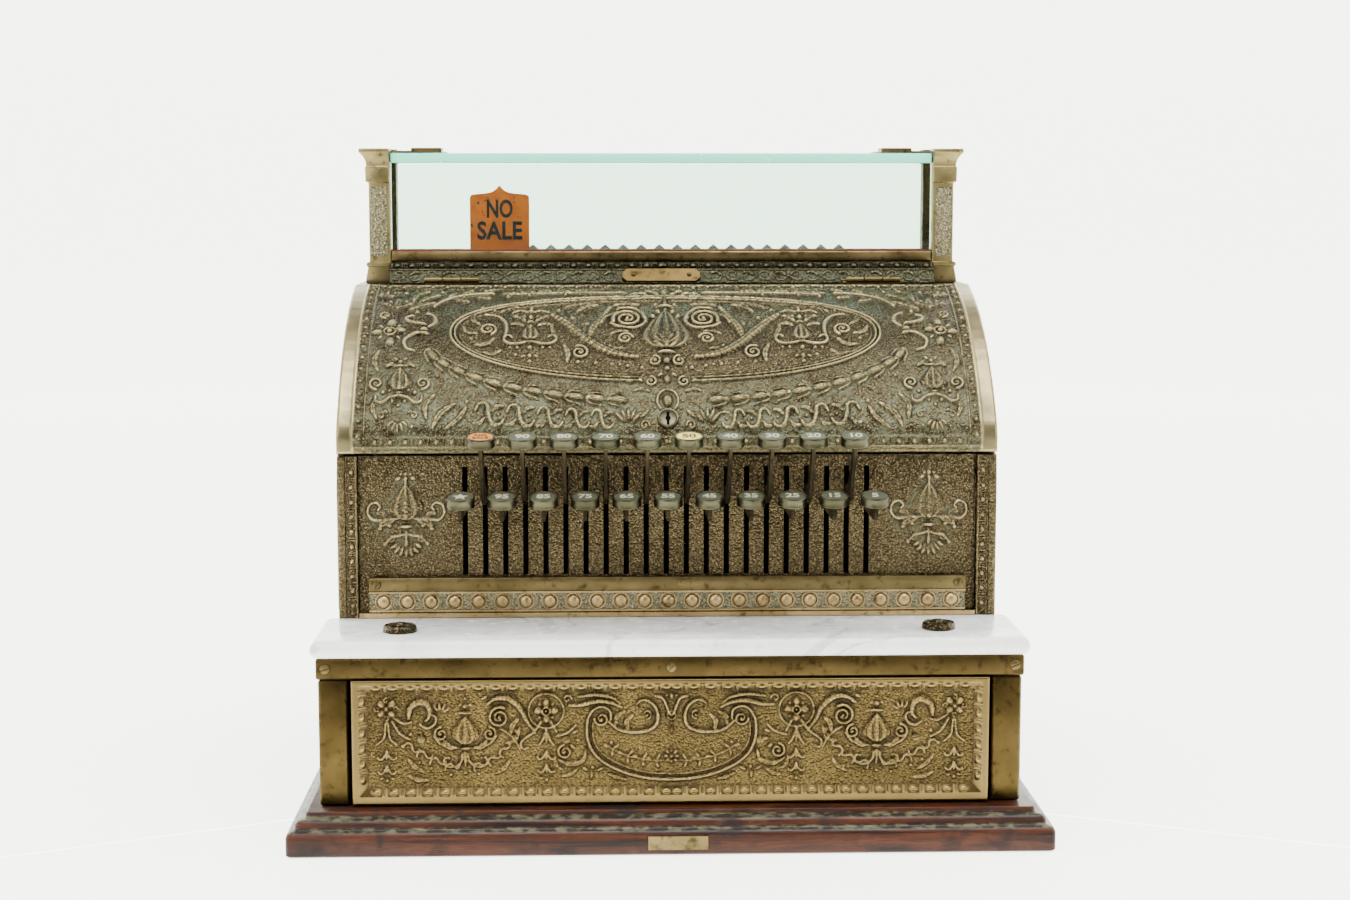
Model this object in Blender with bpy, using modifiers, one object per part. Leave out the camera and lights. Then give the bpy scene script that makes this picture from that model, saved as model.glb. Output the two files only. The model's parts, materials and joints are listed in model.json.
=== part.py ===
"""Antique brass press-key cash register, as an assembly of separate solids.

Metres, +Z up. X runs across the front, -Y points at the clerk, and the origin is the
centre of the footprint on the counter.
"""

import math

import bmesh
import bpy
from mathutils import Matrix, Vector

GAP = 0.0003                    # running gap between neighbouring pieces

# widths, as half of the whole
BASE_HALF = 0.2320
CASE_HALF = 0.2136
RAIL_HALF = 0.2147
MARBLE_HALF = 0.2176
BODY_HALF = 0.2083
WINDOW_HALF = 0.1864            # inner faces of the window posts

# depths: front is -Y
BASE_FRONT, BASE_BACK = -0.1962, 0.1973
CASE_FRONT, CASE_BACK = -0.1730, 0.1780
MARBLE_FRONT = -0.1790
BODY_FRONT, BODY_BACK = -0.1040, 0.1680
WINDOW_FRONT, WINDOW_BACK = 0.0460, 0.1110

# heights
BASE_TOP = 0.0250
CASE_TOP = 0.1168
RAIL_BOTTOM = 0.1038
MARBLE_TOP = 0.1278
KEY_PANEL_BOTTOM = 0.1315
KEY_BAR_LOW, KEY_BAR_HIGH = 0.1453, 0.1538
LID_BOTTOM = 0.2325
LID_STRAIGHT_TOP = 0.2402
DECK_EDGE_TOP = 0.3424           # where the sloping band of the deck turns upright
DECK_BAND_TOP = 0.3472
RAIL_TOP = 0.3545
CAPITAL_BOTTOM = 0.4016
TOP_GLASS_BOTTOM = 0.4148
TOP_GLASS = 0.0068
POST_TOP = 0.4247

# cabinet
CASE_WALL = 0.0040
CASE_SHEET = 0.0030
CORNER_WIDTH = 0.0182
CORNER_DEPTH = 0.0200
BUTTON_X, BUTTON_Y = 0.1660, -0.1470
DRAWER_HALF = 0.1937
DRAWER_LOW, DRAWER_HIGH = 0.0262, 0.1032
DRAWER_FRONT_THICK = 0.0080
TRAY_HALF = 0.1860
TRAY_BACK = 0.1450
TRAY_LOW, TRAY_HIGH = 0.0292, 0.0910
TRAY_WALL = 0.0060
COIN_CUPS = 5
NOTE_BAYS = 4
CUP_ROW_DEPTH = 0.1100

# body castings
CHEEK_WIDTH = 0.0128            # front edge of a side casting, seen from the front
SIDE_SKIN = 0.0050
CHEEK_RADIUS = 0.0170
CHEEK_RIM = 0.0120
PANEL_RECESS = 0.0025
PANEL_SKIN = 0.0040
STUD_RAIL_HALF = 0.1890
PANEL_CURL_END = -0.0690        # where the curled top of the key panel ends, under the lid

# lid: straight lip, then two arcs (radius, slope at each end, steps), then straight to the hinge
LID_ARCS = ((0.020, 90, 57, 5), (0.184, 57, 15, 14))
LID_END = 0.0205
LID_RIM = 0.0100
LID_RIM_WIDTH = 0.0105
LID_SKIN = 0.0035
LOCK_RADIUS = 0.0065
LOCK_ARC_STEP = math.radians(0.9)
HINGE_Y, HINGE_Z = 0.0230, 0.3358
HINGE_RADIUS = 0.0019
HINGE_FROM, HINGE_TO = 0.1245, 0.1622
DECK_BAND_FOOT, DECK_BAND_FACE = 0.0268, 0.0350
POST_WIDTH = 0.0148
NUMBER_PLATE = (0.0533, 0.0104, 0.0012)
BACK_RADIUS = 0.0540             # rounded shoulder of the body behind the window
BACK_SKIN = 0.0038

# keys: odd places are the low row, even places the high row
KEYS = 21
KEY_PITCH = 0.0127
KEY_CENTRE = -0.0012
KEY_THICK = 0.0024
SLOT_WIDTH = 0.0034
SLOT_LOW, SLOT_HIGH = 0.1548, 0.2262
SHAFT_Y, SHAFT_Z = 0.1280, 0.2000
SHAFT_RADIUS = 0.0040
EYE_RADIUS = 0.0085
CAP_Y = -0.1475
CAP_RADIUS = 0.0090
CAP_THICK = 0.0068
CAP_TILT = math.radians(12)
LOW_CAP_TOP, HIGH_CAP_TOP = 0.2117, 0.2486

# sales indicator
TABLET_Y = 0.0790
TABLET_THICK = 0.0016
TABLET_WIDTH = 0.0416
TABLET_TOP = 0.3996
NO_SALE_PLACE = 2
BANK_TIP = 0.3566
BANK_LOW = 0.3250
WELL_HALF = 0.1500
WELL_NEAR, WELL_FAR = 0.0580, 0.1005


# ---------------------------------------------------------------- helpers

def clear_scene():
    for obj in list(bpy.data.objects):
        bpy.data.objects.remove(obj, do_unlink=True)


def collection(name):
    made = bpy.data.collections.new(name)
    bpy.context.scene.collection.children.link(made)
    return made


def material(name, colour, roughness, metallic):
    made = bpy.data.materials.new(name)
    made.use_nodes = True
    shader = made.node_tree.nodes["Principled BSDF"]
    shader.inputs["Base Color"].default_value = (*colour, 1)
    shader.inputs["Roughness"].default_value = roughness
    shader.inputs["Metallic"].default_value = metallic
    return made


def place(name, mesh, finish=None, matrix=None, smooth=False):
    """One part, in the register's collection. With no finish it is a cutter."""
    obj = bpy.data.objects.new(name, mesh)
    obj.matrix_world = matrix or Matrix()
    if finish is None:
        CUTTERS.objects.link(obj)
        obj.hide_render = True
        obj.display_type = "WIRE"
        return obj
    REGISTER.objects.link(obj)
    if not mesh.materials:
        mesh.materials.append(finish)
    if smooth:
        mesh.shade_smooth()
        mesh.set_sharp_from_angle(angle=math.radians(35))
    return obj


def box_mesh(name, size):
    made = bmesh.new()
    bmesh.ops.create_cube(made, size=1, matrix=Matrix.Diagonal((*size, 1)))
    mesh = bpy.data.meshes.new(name)
    made.to_mesh(mesh)
    made.free()
    return mesh


def box(name, xs, ys, zs, finish=None, bevel=0, segments=2):
    """A block between two x, two y and two z, with its edges rounded if asked."""
    size = (xs[1] - xs[0], ys[1] - ys[0], zs[1] - zs[0])
    centre = Vector((sum(xs) / 2, sum(ys) / 2, sum(zs) / 2))
    obj = place(name, box_mesh(name, size), finish, Matrix.Translation(centre))
    if bevel:
        edge = obj.modifiers.new("rounded edges", "BEVEL")
        edge.width = bevel
        edge.segments = segments
        edge.limit_method = "ANGLE"
    return obj


def cylinder(name, radius, length, matrix, finish=None, segments=18, top_radius=None):
    """A cylinder along its own Z, centred on its own origin."""
    made = bmesh.new()
    top = radius if top_radius is None else top_radius
    bmesh.ops.create_cone(
        made, cap_ends=True, segments=segments, radius1=radius, radius2=top, depth=length
    )
    mesh = bpy.data.meshes.new(name)
    made.to_mesh(mesh)
    made.free()
    return place(name, mesh, finish, matrix, smooth=True)


def along_x(x, y, z):
    """A frame whose own Z runs along the register's X and own X along its Y."""
    return Matrix.Translation((x, y, z)) @ Matrix(
        ((0, 0, 1, 0), (1, 0, 0, 0), (0, 1, 0, 0), (0, 0, 0, 1))
    )


def flat_outline(name, loops, thickness, matrix, finish=None):
    """A plate from closed outlines (the second one is a hole), centred on its own plane."""
    curve = bpy.data.curves.new(name, "CURVE")
    curve.dimensions = "2D"
    curve.fill_mode = "BOTH"
    curve.extrude = thickness / 2
    for loop in loops:
        spline = curve.splines.new("POLY")
        spline.points.add(len(loop) - 1)
        for point, (a, b) in zip(spline.points, loop):
            point.co = (a, b, 0, 1)
        spline.use_cyclic_u = True
    drawn = bpy.data.objects.new(name + " outline", curve)
    CUTTERS.objects.link(drawn)
    bpy.context.view_layer.update()
    mesh = bpy.data.meshes.new_from_object(
        drawn.evaluated_get(bpy.context.evaluated_depsgraph_get())
    )
    bpy.data.objects.remove(drawn)
    bpy.data.curves.remove(curve)
    welded = bmesh.new()
    welded.from_mesh(mesh)
    bmesh.ops.remove_doubles(welded, verts=welded.verts, dist=1e-6)
    welded.to_mesh(mesh)
    welded.free()
    mesh.name = name
    return place(name, mesh, finish, matrix)


def combine(obj, other, operation):
    change = obj.modifiers.new(operation.lower() + " " + other.name, "BOOLEAN")
    change.operation = operation
    change.solver = "EXACT"
    change.object = other


def cut(obj, other):
    combine(obj, other, "DIFFERENCE")


def add(obj, other):
    combine(obj, other, "UNION")


def finished_mesh(obj, name):
    """The object's mesh with its modifiers worked in, for pieces that share it."""
    bpy.context.view_layer.update()
    mesh = bpy.data.meshes.new_from_object(
        obj.evaluated_get(bpy.context.evaluated_depsgraph_get())
    )
    mesh.name = name
    return mesh


def arc(centre, radius, start, end, steps):
    """Points on an arc, in degrees from the first axis, both ends included."""
    turn = [math.radians(start + (end - start) * i / steps) for i in range(steps + 1)]
    return [(centre[0] + radius * math.cos(t), centre[1] + radius * math.sin(t)) for t in turn]


# ---------------------------------------------------------------- the lid's curve

def lid_curve(inset, end=LID_END):
    """(y, z) from the lip up and back to the hinge edge, moved in by inset."""
    y, z = BODY_FRONT + inset, LID_STRAIGHT_TOP
    points = [(y, LID_BOTTOM), (y, z)]
    for radius, first, last, steps in LID_ARCS:
        r = radius - inset
        a0 = math.radians(first)
        for i in range(1, steps + 1):
            a = math.radians(first + (last - first) * i / steps)
            points.append((y + r * (math.sin(a0) - math.sin(a)), z + r * (math.cos(a) - math.cos(a0))))
        y, z = points[-1]
    points.append((end, z + (end - y) * math.tan(a)))
    return points


def deck_heights():
    """Underside and top of the deck's plate, level with the lid's hinge edge."""
    return lid_curve(LID_RIM + GAP)[-1][1] + GAP, lid_curve(0)[-1][1]


def back_curve(inset):
    """(y, z) of the body's back, from its foot up and over to the deck, moved in by inset."""
    top = deck_heights()[1]
    centre = (BODY_BACK - BACK_RADIUS, top - BACK_RADIUS)
    return [(BODY_BACK - inset, CASE_TOP + GAP)] + arc(centre, BACK_RADIUS - inset, 0, 90, 10)


# ---------------------------------------------------------------- base and cabinet

def make_base(wood, brass):
    foot = box("wood_base", (-BASE_HALF, BASE_HALF), (BASE_FRONT, BASE_BACK), (0, 0.0150),
               wood, 0.0030, 3)
    steps = ((0.0145, 0.0212, 0.0055, 0.0022), (0.0202, BASE_TOP, 0.0110, 0.0012))
    for count, (low, high, inset, edge) in enumerate(steps):
        half = BASE_HALF - inset
        add(foot, box("base step %d" % count, (-half, half), (BASE_FRONT + inset, BASE_BACK - inset),
                      (low, high), None, edge))
    front = BASE_FRONT - GAP
    box("base_plate", (-0.0146, 0.0215), (front - 0.0008, front), (0.0034, 0.0118), brass)


def make_cabinet(iron, brass, wood, stone, bronze):
    case = box("drawer_case", (-CASE_HALF, CASE_HALF), (CASE_FRONT + CORNER_DEPTH + GAP, CASE_BACK),
               (BASE_TOP + GAP, CASE_TOP), iron)
    cut(case, box("case hollow", (-CASE_HALF + CASE_WALL, CASE_HALF - CASE_WALL),
                  (CASE_FRONT - 0.01, CASE_BACK - CASE_WALL),
                  (BASE_TOP + CASE_SHEET, CASE_TOP - CASE_SHEET)))
    for side, sign in (("left", -1), ("right", 1)):
        xs = sorted((sign * CASE_HALF, sign * (CASE_HALF - CORNER_WIDTH)))
        box("corner_post_" + side, xs, (CASE_FRONT, CASE_FRONT + CORNER_DEPTH),
            (BASE_TOP + GAP, RAIL_BOTTOM - GAP), brass, 0.0015)
        disc = cylinder("marble_button_" + side, 0.0104, 0.0030,
                        Matrix.Translation((sign * BUTTON_X, BUTTON_Y, MARBLE_TOP + GAP + 0.0015)),
                        bronze, 24, 0.0096)
        add(disc, cylinder("button crown " + side, 0.0080, 0.0024,
                           Matrix.Translation((sign * BUTTON_X, BUTTON_Y, MARBLE_TOP + 0.0040)),
                           None, 16, 0.0040))
    box("trim_rail", (-RAIL_HALF, RAIL_HALF), (CASE_FRONT - 0.002, CASE_FRONT + CORNER_DEPTH),
        (RAIL_BOTTOM, CASE_TOP), brass, 0.0012)
    box("marble_shelf", (-MARBLE_HALF, MARBLE_HALF), (MARBLE_FRONT, BODY_FRONT - GAP),
        (CASE_TOP + GAP, MARBLE_TOP), stone, 0.0032, 3)


def make_drawer(wood, brass):
    front = CASE_FRONT + DRAWER_FRONT_THICK
    box("drawer_front", (-DRAWER_HALF, DRAWER_HALF), (CASE_FRONT, front), (DRAWER_LOW, DRAWER_HIGH),
        brass, 0.0010)
    tray = box("drawer_tray", (-TRAY_HALF, TRAY_HALF), (front + GAP, TRAY_BACK),
               (TRAY_LOW, TRAY_HIGH), wood)
    rows = (
        ("cup", COIN_CUPS, front + GAP + TRAY_WALL, front + CUP_ROW_DEPTH, 0.030),
        ("bay", NOTE_BAYS, front + CUP_ROW_DEPTH + TRAY_WALL, TRAY_BACK - TRAY_WALL, 0.006),
    )
    for word, count, near, far, floor in rows:
        pitch = (2 * TRAY_HALF - TRAY_WALL) / count
        for i in range(count):
            low = -TRAY_HALF + TRAY_WALL + i * pitch
            cut(tray, box("%s %d" % (word, i), (low, low + pitch - TRAY_WALL), (near, far),
                          (TRAY_LOW + floor, TRAY_HIGH + 0.01)))


# ---------------------------------------------------------------- body castings

def side_outline():
    centre = (BODY_FRONT + CHEEK_RADIUS, LID_BOTTOM - 0.0015 - CHEEK_RADIUS)
    top = lid_curve(LID_RIM + GAP)
    shoulder = math.degrees(math.acos((top[0][0] - centre[0]) / CHEEK_RADIUS))
    back = back_curve(0)
    outline = [(BODY_FRONT, CASE_TOP + GAP)]
    outline += arc(centre, CHEEK_RADIUS, 180, shoulder, 6)
    outline += top[1:]
    outline += [(back[-1][0], top[-1][1])] + back[::-1]
    return outline


def side_hollow():
    """The inside of a side casting, one rim's width in from its outline."""
    top = lid_curve(LID_RIM + GAP + CHEEK_RIM)[1 + LID_ARCS[0][3]:]
    back = [(y, min(z, top[-1][1])) for y, z in back_curve(CHEEK_RIM)[1:]]
    low = CASE_TOP + GAP + CHEEK_RIM
    return [(BODY_FRONT + CHEEK_RIM, low), (BODY_FRONT + CHEEK_RIM, LID_BOTTOM - 0.022), *top,
            *[point for point in back[::-1] if point[1] < top[-1][1]], (BODY_BACK - CHEEK_RIM, low)]


def make_sides(brass):
    inner = BODY_HALF - CHEEK_WIDTH
    for side, sign in (("left", -1), ("right", 1)):
        panel = flat_outline("side_panel_" + side, [side_outline()], CHEEK_WIDTH,
                             along_x(sign * (inner + CHEEK_WIDTH / 2), 0, 0), brass)
        depth = CHEEK_WIDTH - SIDE_SKIN + 0.004
        cut(panel, flat_outline("side hollow " + side, [side_hollow()], depth,
                                along_x(sign * (BODY_HALF - SIDE_SKIN - depth / 2), 0, 0)))


def make_body(brass, iron):
    half = BODY_HALF - CHEEK_WIDTH - GAP
    box("body_floor", (-half, half), (BODY_FRONT + 0.0005, BODY_BACK - BACK_SKIN - 0.0005),
        (0.1275, 0.1312), brass)
    flat_outline("back_panel", [back_curve(0) + back_curve(BACK_SKIN)[::-1]], 2 * half,
                 along_x(0, 0, 0), brass)
    front = BODY_FRONT + PANEL_RECESS
    rail = box("stud_rail", (-STUD_RAIL_HALF, STUD_RAIL_HALF), (BODY_FRONT - 0.0008, front - GAP),
               (KEY_PANEL_BOTTOM, KEY_BAR_LOW + 0.0005), brass)
    add(rail, box("key bar", (-STUD_RAIL_HALF, STUD_RAIL_HALF), (BODY_FRONT - 0.0030, front - GAP),
                  (KEY_BAR_LOW, KEY_BAR_HIGH), None, 0.0006))
    centre = (front + CHEEK_RADIUS, LID_BOTTOM - 0.0018 - CHEEK_RADIUS)
    outer = [(front, KEY_PANEL_BOTTOM)] + arc(centre, CHEEK_RADIUS, 180, 90, 8)
    outer.append((PANEL_CURL_END, outer[-1][1]))
    inner = arc(centre, CHEEK_RADIUS - PANEL_SKIN, 90, 180, 8)
    inner.insert(0, (PANEL_CURL_END, inner[0][1]))
    inner.append((front + PANEL_SKIN, KEY_PANEL_BOTTOM))
    panel = flat_outline("key_panel", [outer + inner], 2 * half, along_x(0, 0, 0), brass)
    for i in range(KEYS):
        x = key_x(i + 1)
        cut(panel, box("slot %d" % (i + 1), (x - SLOT_WIDTH / 2, x + SLOT_WIDTH / 2),
                       (front - 0.005, front + CHEEK_RADIUS + 0.004), (SLOT_LOW, SLOT_HIGH)))

    box("key_stop_bar", (-half, half), (-0.0600, -0.0500), (0.2140, 0.2200), iron)
    cylinder("key_shaft", SHAFT_RADIUS, 2 * (BODY_HALF - SIDE_SKIN - GAP),
             along_x(0, SHAFT_Y, SHAFT_Z), iron)


def make_bell(brass):
    """A gong on its post, turned in one piece."""
    profile = [(0.0, 0.0300), (0.0060, 0.0300), (0.0150, 0.0265), (0.0210, 0.0190), (0.0225, 0.0120),
               (0.0212, 0.0120), (0.0198, 0.0180), (0.0140, 0.0248), (0.0040, 0.0275),
               (0.0040, 0.0), (0.0, 0.0)]
    mesh = bpy.data.meshes.new("bell")
    edges = [(i, i + 1) for i in range(len(profile) - 1)]
    mesh.from_pydata([(r, 0, z) for r, z in profile], edges, [])
    bell = place("bell", mesh, brass, Matrix.Translation((0.1650, 0.0500, 0.1312 + GAP)))
    turn = bell.modifiers.new("turned", "SCREW")
    turn.steps = turn.render_steps = 20
    turn.use_merge_vertices = True
    turn.merge_threshold = 1e-5


# ---------------------------------------------------------------- lid

def lock_frame():
    """On the lid's curve just above the straight lip, with its own Z out of the lid."""
    slope = math.radians(LID_ARCS[0][2]) - LOCK_ARC_STEP
    y, z = lid_curve(0)[1 + LID_ARCS[0][3]]
    run = LID_ARCS[1][0] * LOCK_ARC_STEP
    foot = Vector((0, y + run * math.cos(slope), z + run * math.sin(slope)))
    out = Vector((0, -math.sin(slope), math.cos(slope)))
    turn = Vector((0, 0, 1)).rotation_difference(out).to_matrix().to_4x4()
    return Matrix.Translation(foot) @ turn


def make_lid(bronze, nickel, brass):
    outer, under = lid_curve(0), lid_curve(LID_RIM)
    lid = flat_outline("lid", [outer + under[::-1]], 2 * BODY_HALF,
                       Matrix.Translation((0, HINGE_Y, HINGE_Z)) @ along_x(0, 0, 0), bronze)
    lid.data.transform(Matrix.Translation((-HINGE_Y, -HINGE_Z, 0)))
    past_end = LID_END + 0.005
    skin, beyond = lid_curve(LID_SKIN, past_end), lid_curve(LID_RIM + 0.004, past_end)
    skin[0] = (skin[0][0], LID_BOTTOM - 0.005)
    beyond[0] = (beyond[0][0], LID_BOTTOM - 0.005)
    cut(lid, flat_outline("lid hollow", [skin + beyond[::-1]], 2 * (BODY_HALF - LID_RIM_WIDTH),
                          along_x(0, 0, 0)))
    frame = lock_frame()
    cut(lid, cylinder("lock hole", LOCK_RADIUS + 0.0004, 0.03, frame))
    lock = cylinder("lid_lock", LOCK_RADIUS, 0.0105, frame @ Matrix.Translation((0, 0, -0.0027)), nickel)
    cut(lock, place("key slot", box_mesh("key slot", (0.0012, 0.0085, 0.0040)), None,
                    frame @ Matrix.Translation((0, 0, 0.0026))))
    for side, sign in (("left", -1), ("right", 1)):
        middle = sign * (HINGE_FROM + HINGE_TO) / 2
        hinge = cylinder("lid_hinge_" + side, HINGE_RADIUS, HINGE_TO - HINGE_FROM,
                         along_x(middle, HINGE_Y, HINGE_Z), brass, 16)
        half = (HINGE_TO - HINGE_FROM) / 2 - 0.001
        add(hinge, box("hinge leaf " + side, (middle - half, middle + half),
                       (HINGE_Y + 0.0005, DECK_BAND_FOOT - GAP), (deck_heights()[1] + GAP, HINGE_Z)))


# ---------------------------------------------------------------- window and indicator

def make_window(brass, glass, bronze):
    underside, plate_top = deck_heights()
    rear = BODY_BACK - BACK_RADIUS - GAP
    far = WINDOW_BACK
    profile = [(LID_END + 0.0012, underside), (LID_END + 0.0012, plate_top), (DECK_BAND_FOOT, plate_top),
               (DECK_BAND_FACE, DECK_EDGE_TOP), (DECK_BAND_FACE, DECK_BAND_TOP), (far, DECK_BAND_TOP),
               (far, plate_top), (rear, plate_top), (rear, underside)]
    deck = flat_outline("deck", [profile], 2 * (WINDOW_HALF - GAP), along_x(0, 0, 0), bronze)
    plate = box("deck plate", (-BODY_HALF, BODY_HALF), (LID_END + 0.0012, rear), (underside, plate_top))
    add(deck, plate)
    cut(deck, box("tablet well", (-WELL_HALF, WELL_HALF), (WELL_NEAR, WELL_FAR), (0.30, 0.36)))
    make_number_plate(brass)

    rail_depth = 0.0110
    for word, near in (("front", WINDOW_FRONT + GAP), ("rear", WINDOW_BACK - rail_depth)):
        box("window_rail_" + word, (-WINDOW_HALF, WINDOW_HALF), (near, near + rail_depth),
            (DECK_BAND_TOP + GAP, RAIL_TOP), brass, 0.0008)
        pane = near + rail_depth / 2
        box("glass_" + word, (-WINDOW_HALF + GAP, WINDOW_HALF - GAP), (pane - 0.0015, pane + 0.0015),
            (RAIL_TOP + GAP, TOP_GLASS_BOTTOM - GAP), glass)
    top = TOP_GLASS_BOTTOM + TOP_GLASS
    box("glass_top", (-WINDOW_HALF + GAP, WINDOW_HALF - GAP), (WINDOW_FRONT + 0.001, WINDOW_BACK - 0.001),
        (TOP_GLASS_BOTTOM, top), glass, 0.0006)

    for side, sign in (("left", -1), ("right", 1)):
        for word, near, toward in (("front", WINDOW_FRONT, -1), ("rear", WINDOW_BACK, 1)):
            make_post("post_%s_%s" % (word, side), sign, near, toward, plate_top + GAP, brass)
        low, high = sorted((sign * (WINDOW_HALF - GAP), sign * 0.1510))
        clip = box("glass_clip_" + side, (low, high), (WINDOW_FRONT + 0.002, WINDOW_BACK - 0.002),
                   (top + GAP, top + 0.0016), brass)
        low, high = sorted((sign * 0.1720, sign * 0.1510))
        add(clip, box("clip tab " + side, (low, high), (WINDOW_FRONT + 0.002, WINDOW_FRONT + 0.020),
                      (top + 0.0010, top + 0.0036), None))


def make_number_plate(brass):
    """A blank plate lying on the sloping band."""
    low = Vector((0, DECK_BAND_FOOT, deck_heights()[1]))
    high = Vector((0, DECK_BAND_FACE, DECK_EDGE_TOP))
    slope = math.atan2(high.z - low.z, high.y - low.y)
    turn = Matrix.Rotation(slope, 4, "X")
    out = turn @ Vector((0, 0, GAP + NUMBER_PLATE[2] / 2))
    place("number_plate", box_mesh("number_plate", NUMBER_PLATE), brass,
          Matrix.Translation((low + high) / 2 + out + Vector((-0.0010, 0, 0))) @ turn)


def make_post(name, sign, face, toward, foot, brass):
    """A square post, lofted up through its levels: the inner side is upright, the rest flares."""
    inner, outer = sign * (WINDOW_HALF + GAP), WINDOW_HALF + POST_WIDTH
    back = face - toward * POST_WIDTH
    levels = ((foot, 0.0026), (foot + 0.0120, 0.0010), (foot + 0.0150, 0), (CAPITAL_BOTTOM, 0),
              (CAPITAL_BOTTOM + 0.0004, 0.0018), (TOP_GLASS_BOTTOM, 0.0024),
              (POST_TOP - 0.0030, 0.0062), (POST_TOP, 0.0062))
    made = bmesh.new()
    rings = []
    for z, spread in levels:
        far_x, far_y = sign * (outer + spread), face + toward * spread * 0.6
        corners = ((inner, back), (far_x, back), (far_x, far_y), (inner, far_y))
        rings.append([made.verts.new((x, y, z)) for x, y in corners])
    for low, high in zip(rings, rings[1:]):
        for i in range(4):
            j = (i + 1) % 4
            made.faces.new((low[i], low[j], high[j], high[i]))
    made.faces.new(rings[0][::-1])
    made.faces.new(rings[-1])
    bmesh.ops.recalc_face_normals(made, faces=made.faces)
    mesh = bpy.data.meshes.new(name)
    made.to_mesh(mesh)
    made.free()
    place(name, mesh, brass)


def pointed_top(half, shoulder, tip):
    """Right half to left half of an ogee-headed tablet, above its shoulders."""
    rise = tip - shoulder
    right = [(half, shoulder), (half * 0.93, shoulder + rise * 0.45), (half * 0.72, shoulder + rise * 0.62),
             (half * 0.34, shoulder + rise * 0.72), (half * 0.12, shoulder + rise * 0.86)]
    return right + [(0, tip)] + [(-x, z) for x, z in reversed(right)]


def upright(x, y, z):
    """A frame whose own X is the register's X and own Y its Z."""
    return Matrix.Translation((x, y, z)) @ Matrix.Rotation(math.pi / 2, 4, "X")


def make_indicator(enamel, grey):
    x = key_x(NO_SALE_PLACE) + 0.0023
    half = TABLET_WIDTH / 2
    rod = 0.0025
    low, foot = 0.2550, 0.3440
    outline = [(-rod, low), (rod, low), (rod, foot), (half, foot)]
    outline += pointed_top(half, TABLET_TOP - 0.0090, TABLET_TOP) + [(-half, foot), (-rod, foot)]
    flat_outline("no_sale_tablet", [outline], TABLET_THICK, upright(x, TABLET_Y, 0), enamel)

    tips = []
    tooth = KEY_PITCH * 0.47
    for i in range(KEYS, 0, -1):
        if i != NO_SALE_PLACE:
            head = pointed_top(tooth, BANK_TIP - 0.0050, BANK_TIP)
            tips += [(key_x(i) + tooth, BANK_LOW + 0.008)]
            tips += [(key_x(i) + a, z) for a, z in head]
            tips += [(key_x(i) - tooth, BANK_LOW + 0.008)]
    end = WELL_HALF - 0.0060
    outline = [(-end, BANK_LOW), (end, BANK_LOW), (end, BANK_LOW + 0.008)] + tips
    outline += [(-end, BANK_LOW + 0.008)]
    flat_outline("tablet_bank", [outline], TABLET_THICK, upright(0, TABLET_Y + 0.0040, 0), grey)


# ---------------------------------------------------------------- keys

def key_x(place_number):
    return KEY_CENTRE + (place_number - (KEYS + 1) / 2) * KEY_PITCH


def lever_loops(high):
    """The lever's side outline and its shaft hole, about the shaft."""
    def at(y, z):
        return (y - SHAFT_Y, z - SHAFT_Z)

    top = 0.2120 if high else 0.2060
    depth = 0.0100
    eye = arc((0, 0), EYE_RADIUS, -50, 50, 5)
    bore = arc((0, 0), SHAFT_RADIUS + 0.0005, 0, 330, 11)
    if high:
        nose = [at(-0.1120, top), at(-0.1210, top + 0.0040), at(-0.1455, 0.2420), at(-0.1540, 0.2420),
                at(-0.1300, top - 0.0040), at(-0.1180, top - depth)]
    else:
        nose = [at(-0.1480, top), at(-0.1560, top - 0.0020), at(-0.1560, top - 0.0070),
                at(-0.1500, top - depth)]
    under = [at(0.0600, SHAFT_Z - 0.0055)]
    over = [at(0.0600, SHAFT_Z + 0.0055)]
    return [eye + over + nose + under, bore]


def make_keys(nickel):
    meshes = {}
    for high in (False, True):
        word = "high" if high else "low"
        lever = flat_outline(word + " lever", lever_loops(high), KEY_THICK, along_x(0, 0, 0))
        top = HIGH_CAP_TOP if high else LOW_CAP_TOP
        centre = Vector((0, CAP_Y - SHAFT_Y, top - SHAFT_Z - CAP_THICK / 2))
        tilt = Matrix.Rotation(CAP_TILT, 4, "X")
        add(lever, cylinder(word + " cap", CAP_RADIUS, CAP_THICK, Matrix.Translation(centre) @ tilt))
        meshes[high] = finished_mesh(lever, "key " + word)
        meshes[high].materials.clear()
    for i in range(1, KEYS + 1):
        place("key_%02d" % i, meshes[i % 2 == 0], nickel, along_x(key_x(i), SHAFT_Y, SHAFT_Z))


# ---------------------------------------------------------------- the register

def main():
    wood = material("mahogany", (0.17, 0.04, 0.02), 0.4, 0)
    brass = material("aged brass", (0.42, 0.31, 0.14), 0.38, 1)
    bronze = material("dark bronze", (0.24, 0.18, 0.10), 0.45, 1)
    nickel = material("worn nickel", (0.55, 0.52, 0.44), 0.3, 1)
    iron = material("blackened iron", (0.05, 0.05, 0.05), 0.6, 1)
    stone = material("marble", (0.85, 0.86, 0.86), 0.25, 0)
    glass = material("glass", (0.80, 0.93, 0.90), 0.03, 0)
    enamel = material("orange enamel", (0.75, 0.27, 0.03), 0.4, 0)
    grey = material("grey enamel", (0.62, 0.64, 0.60), 0.5, 0)

    make_base(wood, brass)
    make_cabinet(iron, brass, wood, stone, bronze)
    make_drawer(wood, brass)
    make_sides(brass)
    make_body(brass, iron)
    make_bell(brass)
    make_lid(bronze, nickel, brass)
    make_window(brass, glass, bronze)
    make_indicator(enamel, grey)
    make_keys(nickel)


clear_scene()
REGISTER = collection("cash register")
CUTTERS = collection("cutters")
main()
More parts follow.
